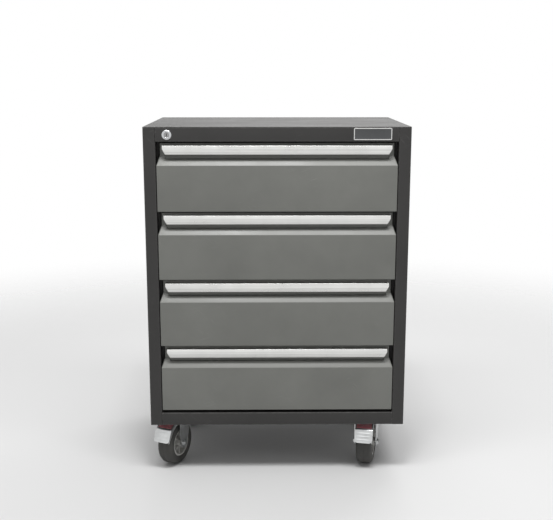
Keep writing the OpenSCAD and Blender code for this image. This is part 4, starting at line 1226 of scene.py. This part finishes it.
# %% Arms, pins and pads
pad_t, rib_deep, pad_ribs, pad_in, inside, hinge_r = 2.5 * mm, 0.7 * mm, 5, 4 * mm, 1 * mm, 8 * mm
arm_in = arm_out - pedal_t
arm = np.vstack([arc_points(pedal_at, hinge_r, 100, 260, 14), round_wheel(4 * mm, 60), round_wheel(4 * mm, 43),
                 tip + inside * out, knee + inside * up, heel + inside * up])
hinge_pin = [(5 * mm, arm_in + 0.2 * mm), (5 * mm, arm_in - 0.8 * mm), (3.5 * mm, arm_in - 1.4 * mm)]
arms = [bar(arm, sorted((side * arm_in, side * arm_out)), "xzy") for side in (-1, 1)]
pins = [stacked([(r, side * place) for r, place in hinge_pin], pivot, segments=24) for side in (-1, 1)]
# The pad's side view: its hollows are a wave cut flat, and its two ends stay plain.
long, t, plain_end = upper - 2 * pad_in, np.linspace(0, 1, 61), 0.08
wave = np.clip(0.5 + 1.3 * np.cos(2 * np.pi * pad_ribs * t), 0, 1) * (t > plain_end) * (t < 1 - plain_end)
ribs = np.stack([1 * mm + (long - 2 * mm) * t, pad_t - rib_deep * wave], 1)
shape = np.vstack([(0, 0), (0.2 * mm, 1.2 * mm), ribs, (long - 0.2 * mm, 1.2 * mm), (long, 0)])
shape = heel + pad_in * along + pedal_t * up + shape[:, :1] * along + shape[:, 1:] * up
pad = bar(shape, (pad_in - arm_out, arm_out - pad_in), "xzy")
for c in front_casters:
    piece(c + "_pedal_plate", placed(pedal_plate(), c), c + "_brake", zinc, c + "_brake_pedal",
          solidify=pedal_t, bevel=0.4 * mm, sharp=30)
    piece(c + "_pedal_arms", placed(together(*arms, *pins), c), c + "_brake", zinc, bevel=0.35 * mm, sharp=35)
    piece(c + "_pad", placed(pad, c), c + "_brake", ("brake_red", pad_red), c + "_brake_pad", bevel=0.5 * mm,
          sharp=40)
print("brakes hang at", np.round(pedal_at, 4))

# %% [markdown]
# ## Floor, light and camera
# The chest stands on a plain pale floor that fades into white. A long soft strip and a small lamp stand in for
# the ceiling lights over a workshop: they stand high, so they shine on the sloping bands more than on the
# faces. The surroundings light the chest as a grey sky does, but rays that come straight to the eye or by way
# of metal see them white, so the handle bars mirror a bright room. The camera stands a little above the
# chest, straight in front of it, as somebody would who walks up to it.

# %% The pale floor
fade_from, fade_to, reach = 1.1, 3.0, 4.0


def floor_material():
    """White that turns clear with the distance from the middle, so the floor has no edge."""
    material, tree, shader, where = finish("floor_white", (0.66, 0.66, 0.66), 0.7)
    away = add(tree, "VectorMath", {0: where}, operation="LENGTH").outputs["Value"]
    fade = add(tree, "MapRange", {0: away, 1: fade_from, 2: fade_to, 3: 1.0, 4: 0.0},
               interpolation_type="SMOOTHSTEP")
    tree.links.new(fade.outputs[0], shader.inputs["Alpha"])
    return material


gx, gy = np.meshgrid(*[np.linspace(-reach, reach, 9)] * 2)
points, faces = skin(on_axes(gx, gy, -0.2 * mm, "xyz"), around=False)
floor_mesh = bpy.data.meshes.new("floor")
floor_mesh.from_pydata(points.tolist(), [], faces)
floor_mesh.materials.append(floor_material())
floor = put_in_scene("floor", floor_mesh)
print("floor of", 2 * reach, "m")

# %% The surroundings
world = bpy.data.worlds.new("studio")
bpy.context.scene.world = world
world.use_nodes = True
sky = world.node_tree
surroundings = sky.nodes["Background"]
surroundings.inputs["Color"].default_value = (0.80, 0.80, 0.80, 1)
surroundings.inputs["Strength"].default_value = 0.56
white = add(sky, "Background", {"Color": (1, 1, 1, 1), "Strength": 1.0})
path = add(sky, "LightPath").outputs
mirrored_too = maths(sky, "MAXIMUM", path["Is Glossy Ray"], path["Is Transmission Ray"])
seen = maths(sky, "MAXIMUM", path["Is Camera Ray"], mirrored_too)
mix = add(sky, "MixShader", {0: seen, 1: surroundings.outputs[0], 2: white.outputs[0]})
sky.links.new(mix.outputs[0], sky.nodes["World Output"].inputs["Surface"])
print("surroundings are in place")


# %% Soft lights
def point_at(obj, place, aim):
    """Puts a light or camera at a place and turns it so that its -Z axis points at the aim."""
    obj.location = place
    way = mathutils.Vector(aim) - mathutils.Vector(place)
    obj.rotation_euler = way.to_track_quat("-Z", "Y").to_euler()


chest_front = (0, front_y, 0.5)
for name, place, aim, size, power in (
        ("ceiling_strip", (-0.03, -1.25, 3.4), chest_front, (3.2, 0.8), 72),
        ("ceiling_lamp", (-0.03, -1.15, 3.3), chest_front, (0.40, 0.40), 22),
        ("back_strip", (0.6, 1.9, 3.0), (0, 0, 0.5), (2.6, 0.9), 45)):
    light = bpy.data.lights.new(name, "AREA")
    light.shape, light.size, light.size_y, light.energy = "RECTANGLE", *size, power
    point_at(put_in_scene(name, light), place, aim)
print(len(bpy.data.lights), "lights")

# %% The camera
lens = bpy.data.cameras.new("camera")
lens.lens, lens.sensor_width, lens.shift_y = 62.0, 36.0, 0.03
camera = put_in_scene("camera", lens)
point_at(camera, (-0.028, front_y - 2.48, 1.097), (-0.002, front_y, 0.555))
bpy.context.scene.camera = camera
bpy.context.scene.view_settings.view_transform = "Standard"
print("camera at", [round(c, 3) for c in camera.location], "lens", lens.lens)
